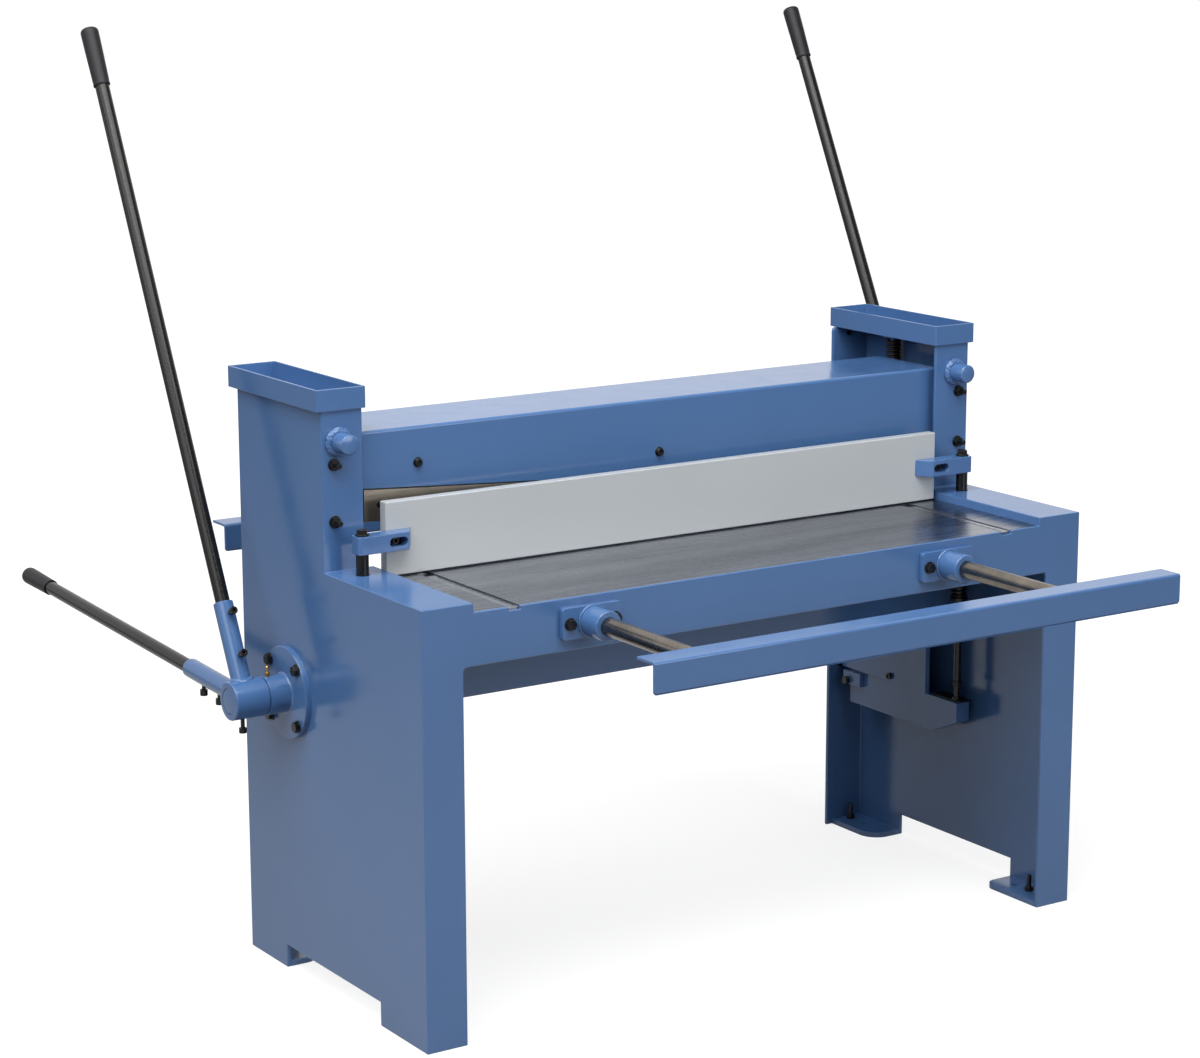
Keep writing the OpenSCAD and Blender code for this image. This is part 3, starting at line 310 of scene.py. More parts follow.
def enamel(name, light, deep, rough):
    # Two-pack enamel sprayed on primed steel: an even colour under a clear, glossy skin, the orange peel of
    # the gun in it, and the long waves of hand-flattened sheet that bend what it mirrors
    finish, tree, shader, where = newFinish(name)
    film = addNode(tree, "ShaderNodeTexNoise", {"Scale": 1 / 0.22, "Detail": 3, "Roughness": 0.55},
                   {"Vector": where})
    tone = addNode(tree, "ShaderNodeMix", {6: hexColour(light), 7: hexColour(deep)},
                   {0: film.outputs["Fac"]}, data_type="RGBA")
    tree.links.new(tone.outputs[2], shader.inputs["Base Color"])
    gloss = addNode(tree, "ShaderNodeTexNoise", {"Scale": 1 / 0.05, "Detail": 4}, {"Vector": where})
    level = addNode(tree, "ShaderNodeMapRange",
                    {"From Min": 0.3, "From Max": 0.7, "To Min": rough - 0.03, "To Max": rough + 0.05},
                    {"Value": gloss.outputs["Fac"]})
    tree.links.new(level.outputs["Result"], shader.inputs["Roughness"])
    # orange peel 3 to 4 mm across, and waves of 140 mm that go twelve times as deep
    peel = addNode(tree, "ShaderNodeTexNoise", {"Scale": 1 / 0.0035, "Detail": 1}, {"Vector": where})
    slack = addNode(tree, "ShaderNodeTexNoise", {"Scale": 1 / 0.14, "Detail": 1}, {"Vector": where})
    both = addNode(tree, "ShaderNodeMath", {1: 12.0}, {0: slack.outputs["Fac"], 2: peel.outputs["Fac"]},
                   operation="MULTIPLY_ADD")
    bump = addNode(tree, "ShaderNodeBump", {"Strength": 0.12, "Distance": 0.00035},
                   {"Height": both.outputs[0]})
    tree.links.new(bump.outputs["Normal"], shader.inputs["Normal"])
    shader.inputs["IOR"].default_value = 1.5
    return finish


def steel(name, light, deep, rough, lines, patch, metallic=1.0, bumpDepth=0.00004, strength=0.25, reflectionStretch=1,
          specular=0.5):
    # Bare machined steel: lines of the tool in one direction, and faint patches from oil and handling; where
    # the patches are drawn out into long bands, as on the table, they are painted reflection
    finish, tree, shader, where = newFinish(name)
    stretched = addNode(tree, "ShaderNodeMapping", {"Scale": lines}, {"Vector": where})
    cuts = addNode(tree, "ShaderNodeTexNoise", {"Scale": 1.0, "Detail": 4, "Roughness": 0.65},
                   {"Vector": stretched.outputs[0]})
    # patches of tone; drawn out along X into long light and dark bands, they are painted reflection
    drawn = addNode(tree, "ShaderNodeMapping", {"Scale": (1, reflectionStretch, reflectionStretch)}, {"Vector": where})
    stainsAndReflections = addNode(tree, "ShaderNodeTexNoise", {"Scale": 1 / patch, "Detail": 5, "Roughness": 0.6},
                    {"Vector": drawn.outputs[0]})
    blend = addNode(tree, "ShaderNodeMath", {1: 0.35}, {0: cuts.outputs["Fac"], 2: stainsAndReflections.outputs["Fac"]},
                    operation="MULTIPLY_ADD")
    tone = addNode(tree, "ShaderNodeMapRange", {"From Min": 0.45, "From Max": 0.9},
                   {"Value": blend.outputs[0]})
    mix = addNode(tree, "ShaderNodeMix", {6: hexColour(deep), 7: hexColour(light)},
                  {0: tone.outputs["Result"]}, data_type="RGBA")
    tree.links.new(mix.outputs[2], shader.inputs["Base Color"])
    level = addNode(tree, "ShaderNodeMapRange",
                    {"From Min": 0.35, "From Max": 0.65, "To Min": rough - 0.07, "To Max": rough + 0.09},
                    {"Value": cuts.outputs["Fac"]})
    tree.links.new(level.outputs["Result"], shader.inputs["Roughness"])
    bump = addNode(tree, "ShaderNodeBump", {"Strength": strength, "Distance": bumpDepth},
                   {"Height": cuts.outputs["Fac"]})
    tree.links.new(bump.outputs["Normal"], shader.inputs["Normal"])
    shader.inputs["Metallic"].default_value = metallic
    shader.inputs["Specular IOR Level"].default_value = specular
    return finish


blueEnamel = enamel("blueEnamel", "#456695", "#3f608c", 0.15)
# The grey coat of the hold-down bar has a duller skin
greyEnamel = enamel("greyEnamel", "#a9adb0", "#a4a8aa", 0.22)
# Surface-ground mild steel: lines 0.4 mm apart along the table, drawn up to 2 mm apart so that they show
# Its patches are drawn out eightfold into long light and dark bands along the table: painted reflection
groundSteel = steel("groundSteel", "#9da0a8", "#6d7078", 0.24, (5, 500, 500), 0.6, strength=0.2, reflectionStretch=8)
# The inlaid strips are ground finer than the table and catch more light
scaleSteel = steel("scaleSteel", "#b2b5bb", "#999ca2", 0.30, (5, 700, 700), 0.1, strength=0.15)
# Ground tool steel of the blades, a little warmer, its lines along the blade
bladeSteel = steel("bladeSteel", "#a49c90", "#857d72", 0.36, (5, 900, 900), 0.09)
# Centreless-ground bar: a fine grain without direction, browned by oil
polishedRod = steel("polishedRod", "#8d857b", "#6f6860", 0.24, (700, 700, 700), 0.05, strength=0.12)
# Machined mild steel, plain grey with a coarser grain from the tool
bareSteel = steel("machinedSteel", "#8b8c8c", "#6f7071", 0.36, (500, 500, 500), 0.06)
# Milled guide bars, dark with oil and grease
oiledSteel = steel("oiledSteel", "#4d4c4b", "#2f2e2d", 0.38, (300, 300, 300), 0.04, metallic=0.8)
# Black oxide on turned steel and screws: near black with an oily sheen, greyer where the hand rubs it
blackOxide = steel("blackOxide", "#0e0e0f", "#070708", 0.27, (400, 400, 400), 0.03, metallic=0, strength=0.15,
                   specular=0.35)
# Hot-rolled lever bar under thin black lacquer: a narrow, faintly uneven highlight along the bar
blackLacquer = steel("blackLacquer", "#100f0e", "#0b0a09", 0.22, (30, 200, 200), 0.02, metallic=0,
                     bumpDepth=0.0001, strength=0.04, specular=0.32)
# Cold-wound spring wire, oiled and browned
springWire = steel("springWire", "#3f2c20", "#241a13", 0.42, (600, 600, 600), 0.02, metallic=0.7)
# Turned free-cutting brass: bright yellow with fine tool rings
turnedBrass = steel("turnedBrass", "#c9a15a", "#a67d38", 0.28, (500, 500, 2500), 0.01)


def mouldedRubber():
    # Moulded rubber: dull black with the fine grain of the mould, 0.4 mm in truth and drawn 1.2 mm to show
    finish, tree, shader, where = newFinish("mouldedRubber")
    grain = addNode(tree, "ShaderNodeTexNoise", {"Scale": 1 / 0.0012, "Detail": 3}, {"Vector": where})
    bump = addNode(tree, "ShaderNodeBump", {"Strength": 0.35, "Distance": 0.00015},
                   {"Height": grain.outputs["Fac"]})
    dust = addNode(tree, "ShaderNodeTexNoise", {"Scale": 1 / 0.03, "Detail": 4}, {"Vector": where})
    mix = addNode(tree, "ShaderNodeMix", {6: hexColour("#121216"), 7: hexColour("#1a1a1f")},
                  {0: dust.outputs["Fac"]}, data_type="RGBA")
    tree.links.new(mix.outputs[2], shader.inputs["Base Color"])
    tree.links.new(bump.outputs["Normal"], shader.inputs["Normal"])
    shader.inputs["Roughness"].default_value = 0.45
    shader.inputs["Specular IOR Level"].default_value = 0.24
    return finish


gripRubber = mouldedRubber()
print("finishes mixed")

# Welded frame, drawn as its right half: "lap" and "sideLap" are how far the plates reach into each other
frameSet = {"halfWidth": 770, "sideIn": 762, "legIn": 685, "towerIn": 684, "tableHalf": 663, "capZ": 822,
            "top": 828, "rearIn": 669, "rearRound": 8, "lipZ": 790, "apronZ": 712, "tableZ": 811,
            "towerY": 360, "wallY": 368, "rearY": 692, "depth": 700, "towerTop": 1131, "archY": (174, 547),
            "archZ": 46, "corner": 7, "edge": 1.8, "plate": 8, "lip": 6, "lap": 3, "sideLap": 4,
            "shaftHole": 60, "rodHole": 36, "postHole": 25, "groove": (564.5, 589.5), "grooveZ": 804}
size = frameSet
plate, lap = size["plate"], size["lap"]
sideReach, legReach = size["sideIn"] + size["sideLap"], size["legIn"] + lap
wallReach, capReach = size["towerY"] + size["sideLap"], size["capZ"] + lap
inner, outer = 700, 800                             # tools through the side plate run from here to here
before, behind = -5, 20                             # and those through the front plates
side = block("frameWeldment", (size["sideIn"], 0, 0), (size["halfWidth"], size["depth"], size["towerTop"]))
cut(side, block("frontStep", (inner, before, capReach), (outer, size["towerY"], 1200)),
    block("footArch", (inner, size["archY"][0], -5), (outer, size["archY"][1], size["archZ"])),
    bar("shaftHole", (inner, shaftY, shaftZ), (outer, shaftY, shaftZ), size["shaftHole"]))
leg = block("leg", (size["legIn"], 0, 0), (sideReach, plate, capReach))
apron = block("apronPlate", (-10, 0, size["apronZ"]), (legReach, plate, size["tableZ"]))
ear = block("ear", (size["tableHalf"], 0, size["tableZ"] - 5), (legReach, plate, capReach))
x, z = size["legIn"] - size["corner"], size["apronZ"] - size["corner"]
corner = block("corner", (x, 0, z), (legReach, plate, size["apronZ"] + lap))
cut(corner, bar("cornerRound", (x, before, z), (x, behind, z), 2 * size["corner"], 32))
cap = block("shoulderCap", (size["tableHalf"], 0, size["capZ"]), (size["halfWidth"], wallReach, size["top"]))
lip = block("shoulderLip", (size["tableHalf"], 4, size["lipZ"]),
            (size["tableHalf"] + size["lip"], wallReach, capReach))
towerWall = block("towerWall", (size["towerIn"], size["towerY"], size["lipZ"]),
                  (sideReach, size["wallY"], size["towerTop"]))
column = block("rearColumn", (size["rearIn"], size["rearY"], 0), (sideReach, size["depth"], size["towerTop"]))
bevelled(column, size["rearRound"], 6,
         lambda a, b: max(a[0], b[0]) < size["rearIn"] + 1 and min(a[2], b[2]) > size["towerTop"] - 1)
weld(side, leg, apron, ear, corner, cap, lip, towerWall, column)
tidyFaces(side)
cut(side, bar("rodHole", (rodX, before, rodZ), (rodX, behind, rodZ), size["rodHole"]),
    bar("postHole", (postX, postY, 800), (postX, postY, 850), size["postHole"], 48),
    block("stripGroove", (size["groove"][0], before, size["grooveZ"]), (size["groove"][1], behind, 820)),
    block("halfCut", (-20, before, 700), (0, behind, 830)))
tidyFaces(side)
pick(side, "FACE", lambda p, n: abs(p[0]) < 0.2 and n.x < -0.9)      # the cut face at the middle goes
bpy.ops.mesh.delete(type="FACE")
done()
mirrored(side)
tidyFaces(side)
eased(side, size["edge"], 3, 40)
dress(side, blueEnamel, "frame", "blue_enamel",
      "side_plates", "front_legs", "apron", "shoulders", "tower_fronts", "rear_columns")
print("frame welded,", len(side.data.polygons), "faces")

# Open trays on the towers, bent up from sheet
traySet = {"x": (678, 781), "y": (355, 716.5), "z": (1131, 1172), "wall": 4, "bend": 2.2, "edge": 0.9}
size = traySet
tray = block("towerTrays", *zip(size["x"], size["y"], size["z"]))
pick(tray, "FACE", lambda p, n: n.z > 0.9)
bpy.ops.mesh.inset(thickness=size["wall"] / 1000)
sink = (0, 0, -(size["z"][1] - size["z"][0] - size["wall"]) / 1000)
bpy.ops.mesh.extrude_region_move(TRANSFORM_OT_translate={"value": sink})
done()
bevelled(tray, size["bend"], 3,
         lambda a, b: abs(a[2] - b[2]) > 30 and abs(a[0] - b[0]) < 0.1 and abs(a[1] - b[1]) < 0.1)
mirrored(tray)
eased(tray, size["edge"])
dress(tray, blueEnamel, "frame", "blue_enamel", "tower_trays")

# Round stubs with their weld beads, two runs one behind the other
stubSet = {"x": 734, "y": 360, "z": 1072, "d": 38, "length": 45, "bead": 5.5}
size = stubSet
r, long = size["d"] / 2, size["length"]
x, y, z = size["x"], size["y"], size["z"]
toFront = (0, -1, 0)
profile = [(0, -2), (r + 6, -2), (r + 6, 0.5), (r + 3.5, 2.5), (r + 1.2, 5.5), (r, 9), (r, long - 2.5),
           (r - 2.5, long), (0, long)]
stub = turned("towerStubs", profile, (x, y, z), toFront)
joined(stub, weldRing("stubBead", (x, y - 4, z), toFront, r + 1.5, size["bead"]),
       weldRing("stubBead2", (x, y - 2, z), toFront, r + 4, size["bead"]))
mirrored(stub)
eased(stub, 0)
dress(stub, blueEnamel, "frame", "blue_enamel", "tower_stubs")
print("trays and stubs made")

# Upper beam: its lower edge keeps "overEdge" above the raked cutting edge
beamSet = {"half": 694, "topHalf": 706, "y": (386, 583), "low": 860, "top": 1080, "plate": 8, "backZ": 914,
           "bend": 6, "edgeX": 663, "edgeZ": 821, "rake": 0.066681, "overEdge": 62, "screws": (-552, 0, 552),
           "screwUp": 46, "screwHole": 10.4, "edge": 0.8}
size = beamSet
half, plate, (front, back) = size["half"], size["plate"], size["y"]
roof = size["top"] - plate
lowAt = lambda x: size["edgeZ"] + (size["edgeX"] - x) * size["rake"] + size["overEdge"]
under = block("underside", (-720, 370, 700), (720, 560, size["low"]))      # what is below the raked edge
for end in (720, -720):
    shifted(under, (0, 0, lowAt(end) - size["low"]), lambda p: p[2] > size["low"] - 1 and p[0] * end > 0)
beam = block("beamSkin", (-size["topHalf"], front, size["low"]), (size["topHalf"], back, size["top"]))
cut(beam, block("leftNotch", (-730, 370, 850), (-half, 600, roof)),
    block("rightNotch", (half, 370, 850), (730, 600, roof)),
    block("inside", (-700, front + plate, 850), (700, back - plate, roof)),
    block("backCut", (-720, 540, 840), (720, 600, size["backZ"])), under)
tidyFaces(beam)
bevelled(beam, size["bend"], 5, lambda p, q: min(p[2], q[2]) > size["top"] - 1 and abs(p[0] - q[0]) > 500)
for x in size["screws"]:
    z = lowAt(x) + size["screwUp"]
    cut(beam, bar("faceHole", (x, 380, z), (x, 400, z), size["screwHole"], 24))
eased(beam, size["edge"], 2, 40)
for v in beam.data.vertices:                        # bevelled corners that stand out go back into the face
    v.co.y = max((front - frontFace) / 1000, v.co.y)
dress(beam, blueEnamel, "blade_carriage", "blue_enamel", "beam_top", "beam_front", "beam_back")
print("beam made")

# Hold-down
holdSet = {"x": (-657, 657), "y": (325, 347), "z": (813.5, 954.5), "edge": 2.0}
holdBar = block("holdDownBar", *zip(holdSet["x"], holdSet["y"], holdSet["z"]))
eased(holdBar, holdSet["edge"], 3)
dress(holdBar, greyEnamel, "hold_down", "grey_enamel", "hold_down_bar")

armSet = {"inner": 626, "innerBack": 604, "outer": 732, "y": (291, 325), "z": (868, 902), "round": 8,
          "slot": (648, 38, 17), "postBore": 12.4, "edge": 1.2}
size = armSet
arm = block("holdDownArms", *zip((size["inner"], size["outer"]), size["y"], size["z"]))
shifted(arm, (size["innerBack"] - size["inner"], 0, 0),
        lambda p: p[0] < size["inner"] + 1 and p[1] > size["y"][1] - 1)
bevelled(arm, size["round"], 6, lambda p, q: min(p[0], q[0]) > size["outer"] - 1 and abs(p[2] - q[2]) > 10)
x, long, wide = size["slot"]
z = sum(size["z"]) / 2
slot = block("slotTool", (x - long / 2, 280, z - wide / 2), (x + long / 2, 335, z + wide / 2))
bevelled(slot, wide / 2 - 0.05, 10, lambda p, q: abs(p[1] - q[1]) > 10)
cut(arm, slot, bar("postBore", (postX, postY, 860), (postX, postY, 910), size["postBore"], 32))
tidyFaces(arm)
mirrored(arm)
eased(arm, size["edge"], 2, 40)
dress(arm, blueEnamel, "hold_down", "blue_enamel", "hold_down_arms")
print("hold-down made")

# Bearings, their rims stepped back where the hubs turn against them
bearingSet = {"x": 770, "flange": 180, "plate": 12, "hub": 75, "length": 58, "neck": 29.5, "bore": 50.1,
              "turns": (45, 135, 225, 315), "screwsAt": 78, "screwHole": 12.4, "nipple": (816.4, 6.4)}
size = bearingSet
axis = (1, 0, 0)
flangeR, hubR, boreR = size["flange"] / 2, size["hub"] / 2, size["bore"] / 2
plate, long, neck = size["plate"], size["length"], size["neck"]
profile = [(boreR, -13), (neck, -13), (neck, 0), (flangeR, 0), (flangeR, plate - 1.6), (flangeR - 1.6, plate),
           (hubR + 4, plate), (hubR + 1.2, plate + 1.4), (hubR, plate + 4.5), (hubR, long - 2.2),
           (hubR - 0.8, long - 1.4), (hubR - 4, long - 1.2), (hubR - 4, long), (boreR, long), (boreR, -13)]
bearing = turned("bearingFlanges", profile, (size["x"], shaftY, shaftZ), axis, 96)
for turn in size["turns"]:
    y, z = aroundShaft(turn, size["screwsAt"])
    cut(bearing, bar("flangeHole", (765, y, z), (785, y, z), size["screwHole"], 30))
x, hole = size["nipple"]
cut(bearing, bar("nippleHole", (x, shaftY, shaftZ + 20), (x, shaftY, shaftZ + 50), hole, 24))
mirrored(bearing)
eased(bearing, 0)
dress(bearing, blueEnamel, "frame", "blue_enamel", "bearings")

washerSet = {"d": 25, "thick": 2.6, "sunk": 0.2, "edge": 0.5}
washers = []
face = bearingSet["x"] + bearingSet["plate"]
for turn in bearingSet["turns"]:                    # under the heads of the bearing screws
    y, z = aroundShaft(turn, bearingSet["screwsAt"])
    washers.append(bar("bearingWashers", (face - washerSet["sunk"], y, z), (face + washerSet["thick"], y, z),
                       washerSet["d"], 48))
washer = joined(*washers)
mirrored(washer)
eased(washer, washerSet["edge"])
dress(washer, blackOxide, "frame", "black_oxide")

# Lever hubs: "front" and "rear" are the levers' angles, the ends are measured from the shaft's axis
hubSet = {"x": (828.3, 899.3), "d": 75, "bore": 50.1, "lever": 863.8, "front": 63.6, "rear": 2.4,
          "socket": 38, "frontEnd": 191, "rearEnd": 235, "tubeStart": 30, "floor": 43.5, "leverBore": 28.1,
          "bead": 4.6, "shaft": 24.4, "paint": 1.9}
size = hubSet
hubR, boreR, socketR = size["d"] / 2, size["bore"] / 2, size["socket"] / 2
long = size["x"][1] - size["x"][0]
centre = (size["lever"], shaftY, shaftZ)
profile = [(boreR, 0), (hubR - 4, 0), (hubR - 4, 1.2), (hubR - 0.8, 1.4), (hubR, 2.2), (hubR, long - 3),
           (hubR - 0.9, long - 0.9), (hubR - 3, long), (boreR, long), (boreR, 0)]
hub = turned("leverHubs", profile, (size["x"][0], shaftY, shaftZ), axis, 96)
beads = []
for turn, end in ((size["front"], size["frontEnd"]), (size["rear"], size["rearEnd"])):
    start = size["tubeStart"]
    profile = [(0, start), (socketR, start), (socketR, end - 1.4), (socketR - 1.4, end), (0, end)]
    weld(hub, turned("socketTube", profile, centre, aim(turn)))
    beads.append(weldRing("socketBead", centre, aim(turn), socketR + 0.8, size["bead"], saddle=hubR))
for turn, end in ((size["front"], size["frontEnd"]), (size["rear"], size["rearEnd"])):
    cut(hub, bar("leverBore", (size["lever"], *aroundShaft(turn, size["floor"])),
                 (size["lever"], *aroundShaft(turn, end + 2)), size["leverBore"], 48))
r, paint = size["shaft"], size["paint"]
profile = [(0, 0), (r, 0), (r, paint - 0.8), (r - 1, paint), (0, paint)]
shaftEnd = turned("shaftEnd", profile, (size["x"][1] - 2.1, shaftY, shaftZ), axis, 96)
joined(hub, *beads, shaftEnd)                       # the shaft's ends are painted over with the hubs
mirrored(hub)
eased(hub, 0)
dress(hub, blueEnamel, "lever_shaft", "blue_enamel", "lever_hubs")
print("bearings and hubs made")

# Levers and grips: "front" and "rear" reach to the grips' tips, and the bars end "tip" short of them
leverSet = {"d": 28, "front": 1375, "rear": 1040, "foot": 43.7, "tip": 14, "grip": 36, "gripLength": 122}
size = leverSet
leverR, gripR, foot = size["d"] / 2, size["grip"] / 2, size["foot"]
aims = (("frontLevers", "front_levers", hubSet["front"], size["front"]),
        ("rearLevers", "rear_levers", hubSet["rear"], size["rear"]))
for name, node, turn, reach in aims:
    tip = reach - size["tip"]
    profile = [(0, foot), (leverR - 1, foot), (leverR, foot + 1), (leverR, tip - 1), (leverR - 1, tip),
               (0, tip)]
    lever = turned(name, profile, centre, aim(turn), 48)
    mirrored(lever)
    eased(lever, 0)
    dress(lever, blackLacquer, "lever_shaft", "black_oxide", node)
grips = []
for name, node, turn, reach in aims:
    low, bore = reach - size["gripLength"], leverR + 0.05
    profile = [(bore, low + 1), (gripR - 2.6, low), (gripR - 1.2, low + 1.4), (gripR - 1.2, low + 5),
               (gripR - 2.0, low + 7), (gripR - 1.4, low + 12), (gripR - 0.6, low + 60), (gripR, low + 104),
               (gripR, low + 113)]
    profile += [(gripR - 8 + 8 * math.cos(deg(v)), reach - 8 + 8 * math.sin(deg(v)))
                for v in (15, 30, 45, 60, 75, 90)]                    # the rounded tip
    profile += [(4, reach), (2.5, reach - 0.8), (0, reach - 1), (0, reach - 13.8), (bore, reach - 13.8),
                (bore, low + 1)]
    grips.append(turned("grip", profile, centre, aim(turn), 48))
grip = joined(*grips)
grip.name = "leverGrips"
mirrored(grip)
eased(grip, 0)
dress(grip, gripRubber, "lever_shaft", "black_rubber", "lever_grips")
print("levers made")

# Angle bars, rods and sockets
barSets = {"front": {"half": 596, "y": -472, "top": 811, "deep": 53, "high": 57,
                     "node": "front_bar", "body": "front_support"},
           "rear": {"half": 720, "y": 872, "top": 824, "deep": 55, "high": 55,
                    "node": "rear_bar", "body": "rear_gauge"}}
t, bend, fillet, endRound, broken = 5, 7, 3, 5, 0.8                  # alike on both bars
for key, v in barSets.items():
    half, y, top = v["half"], v["y"], v["top"]
    lengthwise = lambda p, q: abs(p[0] - q[0]) > 500
    angle = block(key + "Bar", (-half, y, top - t), (half, y + t, top))
    pulled(angle, (0, v["deep"] - t, 0), lambda p, n: n.y > 0.9)
    pulled(angle, (0, 0, t - v["high"]), lambda p, n: n.z < -0.9 and p[1] < y + t)
    bevelled(angle, bend, 6, lambda p, q: lengthwise(p, q) and p[1] < y + 0.1 and p[2] > top - 0.1)
    bevelled(angle, fillet, 4,                      # the inside of the angle
             lambda p, q: lengthwise(p, q) and abs(p[1] - y - t) < 0.1 and abs(p[2] - top + t) < 0.1)
    bevelled(angle, endRound, 4,                    # the lower corners at both ends
             lambda p, q: min(abs(p[0]), abs(q[0])) > half - 0.1 and max(p[2], q[2]) < top - v["high"] + 0.1)
    eased(angle, broken)
    dress(angle, blueEnamel, v["body"], "blue_enamel", v["node"])

socketSet = {"plate": (129, 60, 12), "round": 6, "boss": 57, "length": 66, "bore": 34.1, "screws": 98,
             "screwHole": 12.4, "bead": 2.6, "edge": 0.9}
size = socketSet
wide, high, thick = size["plate"]
socket = block("rodSockets", (rodX - wide / 2, -thick, rodZ - high / 2),
               (rodX + wide / 2, 0, rodZ + high / 2))
bevelled(socket, size["round"], 5, lambda p, q: abs(p[1] - q[1]) > 5)
r, long = size["boss"] / 2, size["length"]
profile = [(0, 4), (r, 4), (r, long - 2.5), (r - 2.5, long), (0, long)]
weld(socket, turned("boss", profile, (rodX, 0, rodZ), toFront, 96))
screwsX = [rodX + n * size["screws"] / 2 for n in (-1, 1)]
cut(socket, bar("rodBore", (rodX, -70, rodZ), (rodX, 10, rodZ), size["bore"], 96),
    *[bar("screwHole", (x, -20, rodZ), (x, 5, rodZ), size["screwHole"], 32) for x in screwsX])
tidyFaces(socket)
joined(socket, weldRing("bossBead", (rodX, -thick - 1, rodZ), toFront, r + 1, size["bead"]))
mirrored(socket)
eased(socket, size["edge"], 2, 60)
dress(socket, blueEnamel, "frame", "blue_enamel", "rod_sockets")

rodSets = {"frontRods": {"d": 34, "x": rodX, "z": rodZ, "y": (-439, 30), "end": (18, 28),
                         "body": "front_support", "node": "front_rods"},
           "rearRods": {"d": 20, "x": 654, "z": 796.5, "y": (602, 872), "end": None,
                        "body": "rear_gauge", "node": "rear_rods"}}
for name, v in rodSets.items():
    r, long = v["d"] / 2, v["y"][1] - v["y"][0]
    profile = [(0, 0), (r - 1.5, 0), (r, 1.5), (r, long - 1.5), (r - 1.5, long), (0, long)]
    if v["end"]:                                    # turned down where it goes into the bar
        endD, endLong = v["end"]
        profile = [(0, -endLong), (endD / 2, -endLong), (endD / 2, 0)] + profile[1:]
    rodPiece = turned(name, profile, (v["x"], v["y"][0], v["z"]), (0, 1, 0))
    mirrored(rodPiece)
    eased(rodPiece, 0)
    dress(rodPiece, polishedRod, v["body"], "polished_steel", v["node"])
print("bars and rods made")


# Springs
def wound(name, r, wire, turns, length, base):
    # the wire's rings are laid one by one so that the ends close
    perTurn, sides, endCurl = 28, 10, 0.75
    closed = endCurl * (wire + 0.6)
    body = length - wire - 2 * closed

    def rise(m):                                    # height of the wire after so many curls
        if m < endCurl:
            return closed * m / endCurl
        if m > turns + endCurl:
            return closed + body + closed * (m - turns - endCurl) / endCurl
        return closed + body * (m - endCurl) / turns

    calm()
    bpy.ops.mesh.primitive_circle_add(vertices=sides, radius=wire / 2000, fill_type="NGON",
                                      location=(r / 1000, 0, wire / 2000), rotation=(deg(90), 0, 0))
    piece = added(name)
    only(piece)
    bpy.ops.object.mode_set(mode="EDIT")
    bpy.ops.mesh.select_all(action="SELECT")
    for i in range(int((turns + 2 * endCurl) * perTurn)):
        step = (0, 0, (rise((i + 1) / perTurn) - rise(i / perTurn)) / 1000)
        bpy.ops.mesh.extrude_region_move(TRANSFORM_OT_translate={"value": step})
        bpy.ops.transform.rotate(value=-math.tau / perTurn, orient_axis="Z", center_override=(0, 0, 0))
    bpy.ops.mesh.select_all(action="SELECT")
    bpy.ops.mesh.normals_make_consistent(inside=False)
    done()
    return place(piece, base, (0, 0, 1))


springSets = {"return": {"r": 12.5, "wire": 7, "turns": 22, "length": 210, "base": (738, 569, 909),
                         "node": "return_springs", "bodies": ("frame", "blade_carriage"), "ends": (1119, 909),
                         "finish": springWire},
              "hold": {"r": 15.477, "wire": 4, "turns": 20, "length": 191.6, "base": (postX, postY, 598.2),
                       "node": "hold_springs", "bodies": ("frame", "hold_down"), "ends": (789.8, 598.2),
                       "finish": blackOxide}}
for key, v in springSets.items():
    spring = wound(key + "Springs", v["r"], v["wire"], v["turns"], v["length"], v["base"])
    mirrored(spring)
    eased(spring, 0)
    dress(spring, v["finish"], None, "spring_steel", v["node"])
    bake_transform(spring)
print("springs wound")

